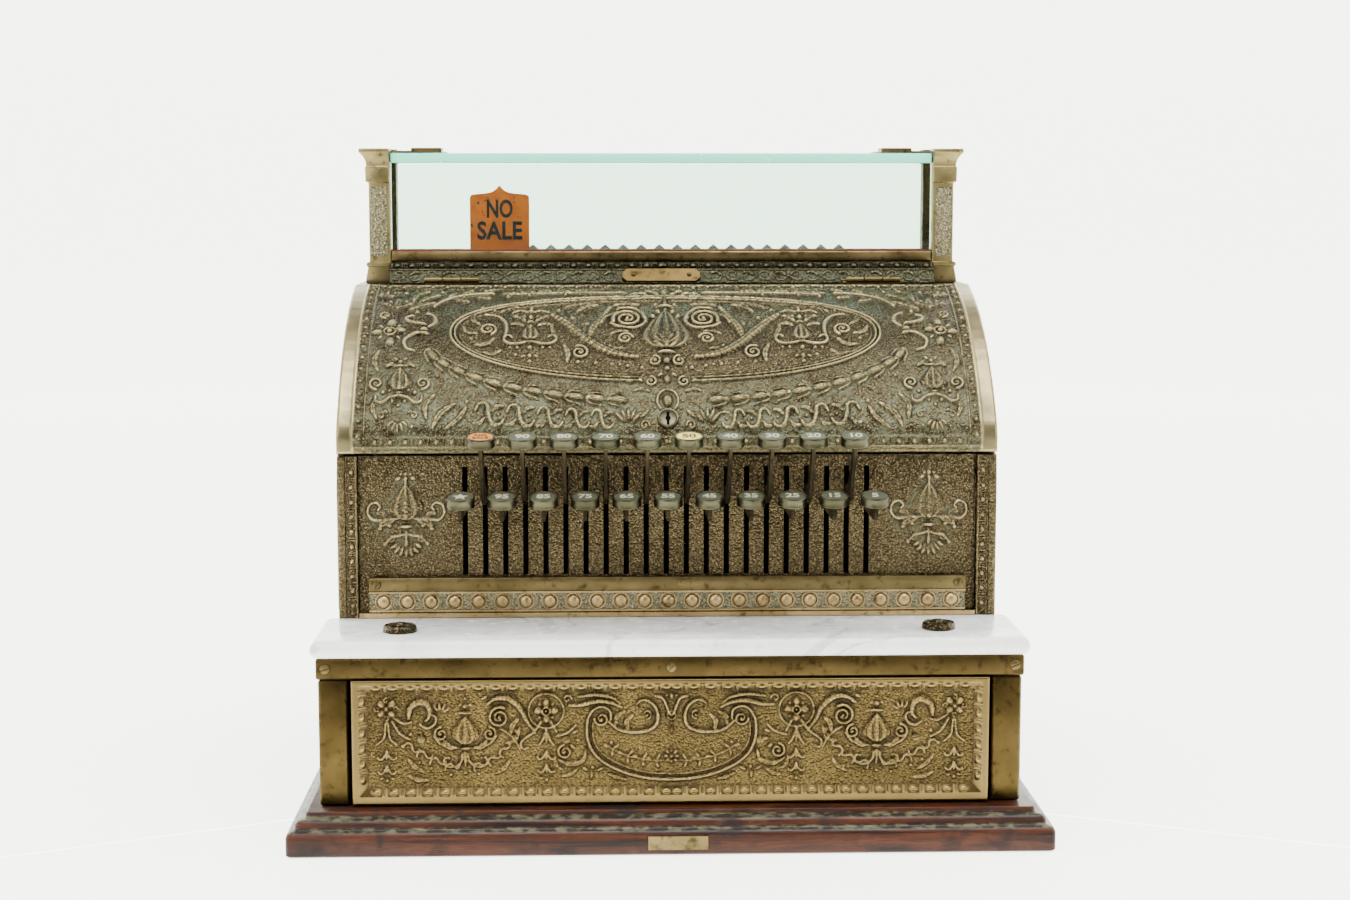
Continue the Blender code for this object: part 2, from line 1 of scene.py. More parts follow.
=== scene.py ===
"""Looks of the press-key cash register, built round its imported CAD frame.

Metres, +Z up, -Y towards the clerk. Cast ornament is drawn in millimetres on height maps, with a pen
that works in the (u, v) of the surface that carries it, and becomes a thin closed skin on that surface.
"""

import json
import math

import bmesh
import bpy
import numpy as np
from mathutils import Matrix, Vector


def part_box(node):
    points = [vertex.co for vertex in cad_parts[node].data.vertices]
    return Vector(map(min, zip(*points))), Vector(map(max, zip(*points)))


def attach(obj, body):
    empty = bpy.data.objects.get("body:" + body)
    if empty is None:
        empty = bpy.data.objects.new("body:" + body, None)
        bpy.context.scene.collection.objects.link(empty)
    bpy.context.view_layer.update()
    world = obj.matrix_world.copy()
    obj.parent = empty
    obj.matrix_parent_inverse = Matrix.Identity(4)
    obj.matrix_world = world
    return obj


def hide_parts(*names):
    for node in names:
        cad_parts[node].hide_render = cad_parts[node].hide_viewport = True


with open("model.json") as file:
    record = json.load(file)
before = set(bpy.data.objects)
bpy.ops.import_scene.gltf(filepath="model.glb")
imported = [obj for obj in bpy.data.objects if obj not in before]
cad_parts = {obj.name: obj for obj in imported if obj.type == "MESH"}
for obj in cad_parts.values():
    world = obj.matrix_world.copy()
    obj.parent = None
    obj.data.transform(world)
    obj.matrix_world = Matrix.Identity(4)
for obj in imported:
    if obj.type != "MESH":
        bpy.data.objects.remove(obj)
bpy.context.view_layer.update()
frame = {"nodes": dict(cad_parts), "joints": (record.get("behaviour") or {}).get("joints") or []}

MM = 0.001
RNG = np.random.default_rng(21)
SKIN_DEPTH = 0.5                 # mm that a cast skin reaches into the solid under it
GROUND = 0.3                     # mm that a cast ground stands proud of that solid
RELIEF_GAIN = 1.3                # depth of the finished ornament over the depth it is drawn with


# ================================================================ colours and materials

def srgb(r, g, b):
    """Linear colour from the eight-bit one a colour card would give."""
    def one(c):
        c /= 255
        return c / 12.92 if c <= 0.04045 else ((c + 0.055) / 1.055) ** 2.4
    return (one(r), one(g), one(b), 1)


class Tree:
    """A material's nodes, with short words for the few kinds used here."""

    def __init__(self, name, **sockets):
        self.material = bpy.data.materials.new(name)
        self.material.use_nodes = True
        self.nodes = self.material.node_tree.nodes
        self.links = self.material.node_tree.links
        self.shader = self.nodes["Principled BSDF"]
        self.coords = self.add("ShaderNodeTexCoord").outputs["Object"]
        self.set(**sockets)

    def set(self, **sockets):
        for word, value in sockets.items():
            self.put(self.shader.inputs[word.replace("_", " ")], value)
        return self

    def put(self, socket, value):
        if isinstance(value, bpy.types.NodeSocket):
            self.links.new(value, socket)
        else:
            socket.default_value = value

    def add(self, kind, inputs=None, **properties):
        node = self.nodes.new(kind)
        for word, value in properties.items():
            setattr(node, word, value)
        for key, value in (inputs or {}).items():
            self.put(node.inputs[key], value)
        return node

    def stretched(self, x, y, z):
        """The object's coordinates with each axis scaled, so that a pattern runs along one of them."""
        return self.add("ShaderNodeMapping", {"Vector": self.coords, "Scale": (x, y, z)}).outputs[0]

    def noise(self, scale, detail=3, distortion=0.0, vector=None):
        inputs = {"Vector": vector or self.coords, "Scale": scale, "Detail": detail, "Distortion": distortion}
        return self.add("ShaderNodeTexNoise", inputs).outputs[0]

    def pebbles(self, scale):
        inputs = {"Vector": self.coords, "Scale": scale}
        return self.add("ShaderNodeTexVoronoi", inputs, feature="SMOOTH_F1").outputs["Distance"]

    def attribute(self, name):
        return self.add("ShaderNodeAttribute", attribute_name=name).outputs["Fac"]

    def number(self, operation, a, b=0.0):
        return self.add("ShaderNodeMath", {0: a, 1: b}, operation=operation, use_clamp=False).outputs[0]

    def plus(self, a, b):
        return self.number("ADD", a, b)

    def minus(self, a, b):
        return self.number("SUBTRACT", a, b)

    def times(self, a, b):
        return self.number("MULTIPLY", a, b)

    def spread(self, value, low, high, out_low=0.0, out_high=1.0):
        """value from low to high becomes out_low to out_high, held at both ends."""
        inputs = {"Value": value, "From Min": low, "From Max": high, "To Min": out_low, "To Max": out_high}
        return self.add("ShaderNodeMapRange", inputs, clamp=True).outputs[0]

    def mix(self, share, a, b):
        return self.add("ShaderNodeMix", {0: share, 6: a, 7: b}, data_type="RGBA").outputs[2]

    def bump(self, height, distance, strength=1.0, under=None):
        inputs = {"Height": height, "Distance": distance, "Strength": strength}
        if under is not None:
            inputs["Normal"] = under
        return self.add("ShaderNodeBump", inputs).outputs[0]


def cast_metal(name, rubbed, body, sunk, green, roughness, polish=0.75):
    """Old cast metal: rubbed bright on its high places, partly real wear and partly painted highlight; dark
    in its hollows, partly patina and partly painted shade; painted highlights on the tops of its stipple and
    painted shade between them; with green where it stayed damp.
    """
    tree = Tree(name)
    hollow = tree.attribute("hollow")
    bare = tree.attribute("bare")
    cloud = tree.noise(26, 4)
    speck = tree.noise(420, 3)
    # high paints the crests with the rubbed colour: real wear and a painted highlight
    high = tree.spread(tree.plus(tree.times(hollow, -1.0), cloud), 0.75, 2.3, 0.0, 0.85)
    # low paints the hollows with the sunk colour: patina and painted shade
    low = tree.spread(tree.plus(hollow, tree.times(speck, 0.5)), 0.46, 1.4, 0.0, 0.8)

    colour = tree.mix(tree.spread(cloud, 0.3, 0.7, 0.0, 0.4), body, sunk)
    colour = tree.mix(tree.spread(tree.noise(9, 3, 0.5), 0.45, 0.7, 0.0, 0.4), colour, sunk)
    polished = tree.times(bare, tree.spread(cloud, 0.35, 0.6, polish / 2, polish))
    colour = tree.mix(polished, colour, rubbed)
    pebbles = tree.pebbles(880)
    stippled = tree.minus(1.0, bare)
    # painted highlight on the top of each pebble of the stippled ground, and painted shade in the pits
    # between them
    pebble_highlight = tree.times(stippled, tree.spread(pebbles, 0.08, 0.30, 0.5, 0.0))
    pebble_shade = tree.times(stippled, tree.spread(pebbles, 0.34, 0.60, 0.0, 0.65))
    colour = tree.mix(pebble_shade, tree.mix(pebble_highlight, colour, rubbed), sunk)
    colour = tree.mix(high, colour, rubbed)
    colour = tree.mix(low, colour, sunk)

    metallic = tree.spread(low, 0, 1, 1.0, 0.75)
    if green is not None:
        patches = tree.spread(tree.noise(120, 6, 0.6), 0.36, 0.68, 0.0, 0.8)
        damp = tree.times(tree.attribute("damp"), patches)
        crust = tree.times(damp, tree.spread(hollow, -0.25, 0.35))
        colour = tree.mix(crust, colour, green)
        metallic = tree.minus(metallic, tree.times(crust, 0.65))
    rough = tree.spread(tree.plus(low, tree.noise(60, 3)), 0.4, 1.5, roughness - 0.08, roughness + 0.2)
    surface = tree.bump(tree.noise(1500, 2), 0.0001, 0.5)
    surface = tree.bump(tree.times(pebbles, stippled), 0.0009, 0.7, surface)
    return tree.set(Base_Color=colour, Metallic=metallic, Roughness=rough, Normal=surface).material


def plain_metal(name, body, worn, dark, roughness, along=(1, 1, 1)):
    """Plain bars and posts: faint brushing along one axis, stains, and dark spots."""
    tree = Tree(name)
    cloud = tree.noise(34, 5)
    colour = tree.mix(tree.spread(cloud, 0.35, 0.68), body, worn)
    colour = tree.mix(tree.spread(tree.noise(180, 5), 0.56, 0.72, 0.0, 0.75), colour, dark)
    brushing = tree.noise(900, 2, 0.0, tree.stretched(*along))
    surface = tree.bump(brushing, 0.00006, 0.5)
    surface = tree.bump(tree.noise(260, 4), 0.00012, 0.35, surface)
    rough = tree.spread(tree.noise(90, 4), 0.3, 0.7, roughness - 0.08, roughness + 0.16)
    return tree.set(Base_Color=colour, Metallic=1.0, Roughness=rough, Normal=surface).material


def old_mahogany(name, light, deep, along, treads=()):
    """Varnished wood: long figure, pores, black in its wear, and dusty scuffs at the treads' heights."""
    tree = Tree(name)
    figure = tree.noise(7, 6, 0.8, tree.stretched(*along))
    fine = tree.noise(60, 4, 0.2, tree.stretched(*along))
    colour = tree.mix(tree.spread(figure, 0.36, 0.64), deep, light)
    colour = tree.mix(tree.spread(fine, 0.52, 0.66, 0.0, 0.6), colour, deep)
    wear = tree.spread(tree.noise(48, 6, 0.6), 0.53, 0.70)
    colour = tree.mix(wear, colour, srgb(24, 13, 10))
    colour = tree.mix(tree.spread(tree.noise(30, 5), 0.62, 0.74, 0.0, 0.35), colour, srgb(92, 66, 44))
    for height in treads:
        level = tree.add("ShaderNodeSeparateXYZ", {0: tree.coords}).outputs["Z"]
        away = tree.number("ABSOLUTE", tree.minus(level, height))
        away = tree.plus(away, tree.times(wear, 0.0006))
        near = tree.spread(away, 0.0006, 0.0016, 0.95, 0.0)
        scuffs = tree.spread(tree.noise(420, 5, 0.4, tree.stretched(0.35, 0.35, 1.0)), 0.46, 0.64)
        colour = tree.mix(near, colour, tree.mix(scuffs, srgb(30, 25, 18), srgb(88, 86, 64)))
    surface = tree.bump(fine, 0.0003, 0.4)
    rough = tree.spread(wear, 0, 1, 0.36, 0.6)
    return tree.set(Base_Color=colour, Roughness=rough, Normal=surface, Specular_IOR_Level=0.22,
                    Coat_Weight=0.04, Coat_Roughness=0.2).material


def veined_marble(name):
    tree = Tree(name)
    long = tree.stretched(0.8, 1.4, 1.4)
    bend = tree.noise(5, 6, 1.6, long)
    vein = tree.number("ABSOLUTE", tree.minus(bend, 0.5))
    cloud = tree.noise(11, 6, 0.6, long)
    colour = tree.mix(tree.spread(cloud, 0.45, 0.75), srgb(248, 248, 244), srgb(214, 218, 218))
    colour = tree.mix(tree.spread(vein, 0.0, 0.014, 0.55, 0.0), colour, srgb(160, 166, 168))
    colour = tree.mix(tree.spread(tree.noise(120, 6), 0.60, 0.74, 0.0, 0.35), colour, srgb(168, 166, 160))
    rough = tree.spread(tree.noise(70, 4), 0.3, 0.7, 0.16, 0.3)
    surface = tree.bump(tree.noise(260, 4), 0.0001, 0.3)
    return tree.set(Base_Color=colour, Roughness=rough, Normal=surface, Subsurface_Weight=0.06,
                    Subsurface_Radius=(0.006, 0.006, 0.006)).material


def window_glass(name, tint):
    tree = Tree(name, Base_Color=tint, IOR=1.45, Transmission_Weight=1.0)
    smear = tree.noise(40, 4)
    return tree.set(Roughness=tree.spread(smear, 0.4, 0.8, 0.02, 0.07)).material


def edge_glass(name, tint):
    """The cut edge of the thick top glass: milky and green."""
    tree = Tree(name, Base_Color=tint, IOR=1.45, Transmission_Weight=0.25)
    return tree.set(Roughness=tree.spread(tree.noise(60, 3), 0.3, 0.7, 0.12, 0.3)).material


def enamel(name, colour, worn):
    """Painted sheet metal, chipped and rubbed."""
    tree = Tree(name)
    shade = tree.mix(tree.spread(tree.noise(120, 5), 0.45, 0.75), colour, worn)
    chips = tree.spread(tree.noise(300, 5), 0.66, 0.70)
    shade = tree.mix(chips, shade, srgb(70, 44, 20))
    surface = tree.bump(tree.noise(700, 3), 0.0001, 0.4)
    return tree.set(Base_Color=shade, Roughness=tree.spread(chips, 0, 1, 0.42, 0.7), Normal=surface).material


def dimmed(colour, share):
    """A colour with only that share of its light."""
    return tuple(c * share for c in colour[:3]) + (1,)


def flat_finish(name, colour, roughness, metallic=0.0, mottle=0.12, shine=0.5):
    tree = Tree(name, Metallic=metallic, Specular_IOR_Level=shine)
    shade = tree.mix(tree.spread(tree.noise(90, 5), 0.4, 0.75), colour, dimmed(colour, 1 - 3 * mottle))
    surface = tree.bump(tree.noise(500, 3), 0.0001, 0.4)
    rough = tree.spread(tree.noise(150, 3), 0.3, 0.7, roughness - 0.05, roughness + 0.12)
    return tree.set(Base_Color=shade, Roughness=rough, Normal=surface).material


def glazed_label(name, colour):
    """A printed disc under clear celluloid."""
    tree = Tree(name, Coat_Weight=0.2, Coat_Roughness=0.12, Coat_IOR=1.4, Specular_IOR_Level=0.25)
    shade = tree.mix(tree.spread(tree.noise(400, 4), 0.4, 0.7, 0.0, 0.3), colour, dimmed(colour, 0.5))
    return tree.set(Base_Color=shade, Roughness=tree.spread(tree.noise(200, 3), 0.3, 0.7, 0.4, 0.6)).material


SIDEWAYS, ACROSS_LID, UPRIGHT = (3, 60, 60), (60, 3, 3), (60, 60, 3)        # directions of brushing

# each row: how it is made, its name, then that maker's own values
FINISHES = (
    (cast_metal, "front brass", srgb(150, 128, 82), srgb(104, 87, 50), srgb(40, 33, 18), None, 0.36, 0.2),
    (cast_metal, "lid bronze", srgb(178, 162, 116), srgb(74, 65, 46), srgb(24, 22, 15), srgb(82, 84, 58),
     0.38),
    (cast_metal, "body brass", srgb(190, 169, 122), srgb(92, 80, 56), srgb(34, 29, 19), srgb(82, 84, 58),
     0.38, 0.35),
    (cast_metal, "deck bronze", srgb(120, 114, 84), srgb(50, 46, 33), srgb(20, 20, 14), srgb(56, 62, 36),
     0.38),
    (cast_metal, "strip brass", srgb(224, 212, 178), srgb(146, 138, 108), srgb(74, 70, 52),
     srgb(104, 114, 86), 0.36),
    (plain_metal, "edge brass", srgb(158, 134, 90), srgb(190, 164, 116), srgb(70, 57, 36), 0.34, ACROSS_LID),
    (plain_metal, "plain brass", srgb(87, 75, 46), srgb(116, 101, 66), srgb(42, 35, 20), 0.34, SIDEWAYS),
    (plain_metal, "rail brass", srgb(58, 47, 24), srgb(76, 62, 34), srgb(28, 22, 12), 0.34, SIDEWAYS),
    # corner brass is also given to the rear posts, so that they read darker than the front ones: painted
    # shade
    (plain_metal, "corner brass", srgb(61, 49, 24), srgb(78, 64, 34), srgb(30, 23, 12), 0.34, UPRIGHT),
    (plain_metal, "post brass", srgb(128, 114, 74), srgb(160, 144, 98), srgb(56, 46, 28), 0.34, UPRIGHT),
    (plain_metal, "worn nickel", srgb(60, 58, 42), srgb(84, 81, 62), srgb(30, 28, 20), 0.34),
    (plain_metal, "lever steel", srgb(46, 40, 27), srgb(70, 62, 44), srgb(24, 21, 15), 0.4),
    (flat_finish, "black iron", srgb(38, 34, 30), 0.55, 0.8),
    (flat_finish, "black paint", srgb(30, 28, 26), 0.45),
    (flat_finish, "cream paint", srgb(176, 172, 142), 0.5, 0.0, 0.05),
    # painted shade for the inside of the keyhole
    (flat_finish, "key slot", srgb(14, 12, 10), 0.9, 0.0, 0.12, 0.0),
    (flat_finish, "felt", srgb(116, 40, 34), 0.9),
    (old_mahogany, "mahogany", srgb(68, 33, 15), srgb(26, 13, 8), (2, 26, 26), (0.0155, 0.0216)),
    (old_mahogany, "drawer wood", srgb(150, 104, 66), srgb(96, 60, 36), (26, 2, 26)),
    (veined_marble, "marble"),
    (window_glass, "pane", srgb(226, 243, 232)),
    (edge_glass, "glass edge", srgb(140, 250, 222)),
    (enamel, "orange", srgb(236, 110, 0), srgb(206, 88, 0)),
    (enamel, "tablet grey", srgb(176, 182, 172), srgb(140, 148, 138)),
    (glazed_label, "black label", srgb(66, 69, 52)),
    (glazed_label, "yellow label", srgb(226, 200, 96)),
    (glazed_label, "orange label", srgb(198, 118, 22)),
)
MATERIALS = {name: make(name, *values) for make, name, *values in FINISHES}


# ================================================================ shapes

def finish_piece(name, mesh, body, material, replaced=(), bevel=0.0, angle=35.0):
    """Puts a mesh into the scene as a piece of the register."""
    obj = bpy.data.objects.new(name, mesh)
    bpy.context.scene.collection.objects.link(obj)
    if not mesh.materials:
        mesh.materials.append(MATERIALS[material])
    mesh.shade_smooth()
    mesh.set_sharp_from_angle(angle=math.radians(angle))
    if bevel:
        rounding = obj.modifiers.new("rounded edges", "BEVEL")
        rounding.width = bevel
        rounding.segments = 2
        rounding.limit_method = "ANGLE"
        rounding.harden_normals = True
    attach(obj, body)
    if replaced:
        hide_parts(*replaced)
    return obj


class Shape:
    """Gathers closed shells into one mesh."""

    def __init__(self):
        self.verts, self.faces = [], []

    def put(self, verts, faces, matrix=None):
        start = len(self.verts)
        self.verts += [tuple(matrix @ Vector(v)) if matrix else tuple(v) for v in verts]
        self.faces += [tuple(start + i for i in face) for face in faces]
        return self

    def loft(self, rings, matrix=None):
        """A closed shell through rings that have the same number of points."""
        count = len(rings[0])
        faces = [tuple(range(count))[::-1], tuple(range((len(rings) - 1) * count, len(rings) * count))]
        for level in range(len(rings) - 1):
            for i in range(count):
                j = (i + 1) % count
                a, b = level * count, (level + 1) * count
                faces.append((a + i, a + j, b + j, b + i))
        return self.put([p for ring in rings for p in ring], faces, matrix)

    def turned(self, profile, matrix=None, segments=32, hoop=False):
        """Turns (radius, height) points about Z. A hoop joins its last point to its first."""
        verts, rows, faces = [], [], []
        for radius, height in profile:
            if radius < 1e-7:
                rows.append([len(verts)])
                verts.append((0, 0, height))
                continue
            rows.append(list(range(len(verts), len(verts) + segments)))
            for i in range(segments):
                turn = 2 * math.pi * i / segments
                verts.append((radius * math.cos(turn), radius * math.sin(turn), height))
        pairs = list(zip(rows, rows[1:])) + ([(rows[-1], rows[0])] if hoop else [])
        for low, high in pairs:
            for i in range(segments):
                j = (i + 1) % segments
                corners = [low[i % len(low)], low[j % len(low)], high[j % len(high)], high[i % len(high)]]
                faces.append(tuple(dict.fromkeys(corners)))
        return self.put(verts, [f for f in faces if len(f) > 2], matrix)

    def block(self, low, high):
        (x0, y0, z0), (x1, y1, z1) = low, high
        return self.loft([[(x0, y0, z), (x1, y0, z), (x1, y1, z), (x0, y1, z)] for z in (z0, z1)])

    def mesh(self, name):
        made = bpy.data.meshes.new(name)
        made.from_pydata(self.verts, [], self.faces)
        tidy = bmesh.new()
        tidy.from_mesh(made)
        bmesh.ops.recalc_face_normals(tidy, faces=tidy.faces)
        tidy.to_mesh(made)
        tidy.free()
        return made

    def piece(self, name, body, material, slot, replaced=(), bevel=0.0, angle=35.0):
        """The finished piece of that name."""
        return finish_piece(name, self.mesh(name), body, material, replaced, bevel, angle)


def polar(degrees, across, up=None):
    """The point at a turn on a circle, or on an oval that reaches across and up."""
    turn = math.radians(degrees)
    return across * math.cos(turn), (across if up is None else up) * math.sin(turn)


def rounded_rectangle(half_x, half_y, radius, steps=5, centre=(0, 0)):
    points = []
    for k, (sx, sy) in enumerate(((1, 1), (-1, 1), (-1, -1), (1, -1))):
        for i in range(steps + 1):
            turn = math.pi / 2 * (k + i / steps)
            points.append((centre[0] + sx * (half_x - radius) + radius * math.cos(turn),
                           centre[1] + sy * (half_y - radius) + radius * math.sin(turn)))
    return points


def facing(x, y, z, out):
    """A frame at a point whose own Z looks along out, and whose own Y leans upwards."""
    out = Vector(out).normalized()
    side = Vector((0, 0, 1)).cross(out).normalized()
    lean = out.cross(side)
    turn = Matrix((side, lean, out)).transposed().to_4x4()
    return Matrix.Translation((x, y, z)) @ turn


def lettering(name, words, size, depth, matrix, body, material, spacing=1.0, stretch=1.0, heavy=0.0):
    """Plain letters or numbers, as raised paint."""
    curve = bpy.data.curves.new(name, "FONT")
    curve.body = words
    curve.size = size
    curve.extrude = depth
    curve.offset = heavy
    curve.align_x, curve.align_y = "CENTER", "CENTER"
    curve.space_character = spacing
    curve.resolution_u = 3
    drawn = bpy.data.objects.new(name, curve)
    bpy.context.scene.collection.objects.link(drawn)
    bpy.context.view_layer.update()
    mesh = bpy.data.meshes.new_from_object(drawn.evaluated_get(bpy.context.evaluated_depsgraph_get()))
    bpy.data.objects.remove(drawn)
    bpy.data.curves.remove(curve)
    tidy = bmesh.new()
    tidy.from_mesh(mesh)
    bmesh.ops.remove_doubles(tidy, verts=tidy.verts, dist=1e-7)
    tidy.to_mesh(mesh)
    tidy.free()
    mesh.transform(matrix @ Matrix.Diagonal((stretch, 1, 1, 1)))
    mesh.materials.clear()
    return finish_piece(name, mesh, body, material)


# ================================================================ relief: height maps and the pen

def box_blur(field, cells):
    """Mean over a square of 2 * cells + 1, edges repeated."""
    for axis in (0, 1):
        pad = [(0, 0), (0, 0)]
        pad[axis] = (cells + 1, cells)
        total = np.cumsum(np.pad(field, pad, mode="edge"), axis=axis)
        length = field.shape[axis]
        upper = np.take(total, np.arange(2 * cells + 1, length + 2 * cells + 1), axis=axis)
        lower = np.take(total, np.arange(0, length), axis=axis)
        field = (upper - lower) / (2 * cells + 1)
    return field


class Relief:
    """Heights in mm over a rectangle of (u, v) in mm."""

    def __init__(self, u0, u1, v0, v1, step):
        self.u = np.linspace(u0, u1, round((u1 - u0) / step) + 1)
        self.v = np.linspace(v0, v1, round((v1 - v0) / step) + 1)
        self.step = step
        self.U, self.V = np.meshgrid(self.u, self.v)
        self.h = np.zeros_like(self.U)
        self.calm = np.zeros_like(self.U)       # 1 where the ground stays smooth

    def under(self, roof, base, rows):
        """Bends the grid so that its rows run from a level base up to a roof that follows u."""
        share = np.linspace(0, 1, rows)[:, None]
        self.U = np.repeat(self.u[None, :], rows, axis=0)
        self.V = base + (roof(self.u)[None, :] - base) * share
        self.h, self.calm = np.zeros_like(self.U), np.zeros_like(self.U)
        return self

    def near(self, u, v, reach):
        """Slices of the grid that hold everything within reach of a point."""
        j0, j1 = np.searchsorted(self.u, (u - reach, u + reach))
        if j0 >= j1:
            return slice(0, 0), slice(0, 0)
        rows = self.V[:, j0:j1]
        i0 = np.searchsorted(rows.max(axis=1), v - reach)
        i1 = np.searchsorted(rows.min(axis=1), v + reach)
        return slice(i0, i1), slice(j0, j1)

    def stamp(self, layer, u, v, a, b, height, turn=0.0):
        """The larger of what is there and an oval dome."""
        part = self.near(u, v, max(a, b))
        x, y = self.U[part] - u, self.V[part] - v
        if turn:
            c, s = math.cos(turn), math.sin(turn)
            x, y = c * x + s * y, c * y - s * x
        dome = 1.12 * height * np.clip(1 - (x / a) ** 2 - (y / b) ** 2, 0, None) ** 0.9
        layer[part] = np.maximum(layer[part], dome)

    def grain(self, amount):
        """Hammered ground, weaker where it is calm or under ornament."""
        rough = box_blur(RNG.random(self.h.shape), 1)
        rough = (rough - rough.mean()) / (rough.std() + 1e-9)
        bare = np.clip(1 - self.h / 0.7, 0, 1) * (1 - self.calm)
        self.h += amount * rough * bare

    def soften(self):
        """Takes the mould's sharpness off the ornament and gives it its full depth."""
        self.h = RELIEF_GAIN * (0.55 * self.h + 0.45 * box_blur(self.h, 1))


class Pen:
    """Draws on a relief in its own millimetres, so that a motif can be moved, turned, scaled or mirrored."""

    def __init__(self, relief, u=0.0, v=0.0, scale=1.0, flip=1, turn=0.0):
        self.relief, self.u, self.v, self.scale, self.flip, self.turn = relief, u, v, scale, flip, turn

    def at(self, x, y, scale=1.0, flip=1, turn=0.0):
        """A pen whose origin lies at x, y; turn is in degrees."""
        turn = self.turn * flip + math.radians(turn)
        return Pen(self.relief, *self.place(x, y), self.scale * scale, self.flip * flip, turn)

    def place(self, x, y):
        c, s = math.cos(self.turn), math.sin(self.turn)
        x, y = c * x - s * y, s * x + c * y
        return self.u + self.flip * x * self.scale, self.v + y * self.scale

    def both(self, draw):
        """Draws once as it is and once mirrored in this pen's own upright axis."""
        draw(self)
        draw(Pen(self.relief, self.u, self.v, self.scale, -self.flip, -self.turn))

    def dome(self, x, y, a, b, height, turn=0.0):
        u, v = self.place(x, y)
        angle = self.flip * (self.turn + math.radians(turn))
        self.relief.stamp(self.relief.h, u, v, a * self.scale, b * self.scale, height, angle)

    def ball(self, x, y, radius, height=1.3):
        self.dome(x, y, radius, radius, height)

    def path(self, points):
        return smooth_path([self.place(x, y) for x, y in points], self.relief.step * 0.6)

    def line(self, points, widths, height, ribs=0.0, cut=False):
        """A rounded stroke along a smooth curve. ribs is the pitch of its gadroons; cut makes a groove."""
        path, share = self.path(points)
        widths = np.atleast_1d(widths)
        wide = np.interp(share, np.linspace(0, 1, len(widths)), widths) * self.scale
        tall = np.full(len(share), float(height))
        if ribs:
            length = share * path_length(path)
            tall = tall * (1 - 0.32 * np.abs(np.sin(math.pi * length / (ribs * self.scale))))
        layer = np.zeros_like(self.relief.h) if cut else self.relief.h
        for (u, v), w, t in zip(path, wide, tall):
            self.relief.stamp(layer, u, v, w, w, t)
        if cut:
            self.relief.h = np.maximum(self.relief.h - layer, 0)

    def curl(self, x, y, radius, start, turns, width, height, inner=0.25, eye=0.0):
        """A spiral that winds in from its rim at start degrees; turns below 0 wind clockwise."""
        steps = max(8, round(abs(turns) * 14))
        points = []
        for i in range(steps + 1):
            t = i / steps
            dx, dy = polar(start + 360 * turns * t, radius * (1 - (1 - inner) * t))
            points.append((x + dx, y + dy))
        self.line(points, (width, width * 0.6), height)
        if eye:
            self.ball(x, y, eye, height * 1.15)

    def leaf(self, points, width, height, lobes, vein=True):
        """An acanthus leaf along a curve: scalloped sides, a sunk vein and raised lobes."""
        path, share = self.path(points)
        body = np.sin(math.pi * np.clip(share, 0.02, 0.98)) ** 0.55
        scallop = 0.66 + 0.34 * np.abs(np.sin(math.pi * lobes * share))
        wide = width * self.scale * body * scallop + 0.25
        for (u, v), w, t in zip(path, wide, height * (0.75 + 0.25 * scallop)):
            self.relief.stamp(self.relief.h, u, v, w, w, t)
        if vein:
            layer = np.zeros_like(self.relief.h)
            groove = 0.45 * self.scale + 0.2
            for (u, v), t in zip(path, np.sin(math.pi * share)):
                self.relief.stamp(layer, u, v, groove, groove, 0.45 * height * t + 1e-6)
            self.relief.h -= np.minimum(layer, self.relief.h * 0.6)

    def ring(self, x, y, rx, ry, width, height, start=0, end=360):
        steps = 28
        offsets = [polar(start + (end - start) * i / steps, rx, ry) for i in range(steps + 1)]
        self.line([(x + dx, y + dy) for dx, dy in offsets], width, height)

    def petals(self, x, y, count, reach, a, b, height, start=90.0):
        self.fan(x, y, [start + 360 * i / count for i in range(count)], reach, reach, a, b, height)

    def beads(self, x, y, count, pitch, radius, height):
        """Balls one above the other."""
        for i in range(count):
            self.ball(x, y + pitch * i, radius, height)

    def fan(self, x, y, turns, across, up, a, b, height):
        """Domes that point outwards from x, y at the given turns."""
        for turn in turns:
            dx, dy = polar(turn, across, up)
            self.dome(x + dx, y + dy, a, b, height, turn)

    def onion(self, x, low, high, half, height, ribs=5, peak=0.34):
        """A gadrooned bulb that swells above its foot and runs up to a point."""
        relief = self.relief
        u, v0 = self.place(x, low)
        v1 = self.place(x, high)[1]
        part = relief.near(u, (v0 + v1) / 2, max(half * self.scale, (v1 - v0) / 2))
        t = np.clip((relief.V[part] - v0) / (v1 - v0), 0, 1)
        rise = np.clip((peak - t) / peak, 0, 1)
        fall = np.clip((t - peak) / (1 - peak), 0, 1)
        swell = np.sqrt(1 - rise ** 2) * (1 - fall ** 1.5)
        wide = np.maximum(half * self.scale * swell, 1e-3)
        across = np.clip((relief.U[part] - u) / wide, -1, 1)
        bulge = np.sqrt(1 - across ** 2)
        rib = 0.5 + 0.5 * np.abs(np.cos(np.arcsin(across) * ribs)) ** 0.7
        inside = (np.abs(across) < 1) & (t > 0) & (t < 1)
        relief.h[part] = np.maximum(relief.h[part], np.where(inside, height * bulge * rib, 0))


def path_length(path):
    return float(np.hypot(*np.diff(path, axis=0).T).sum())


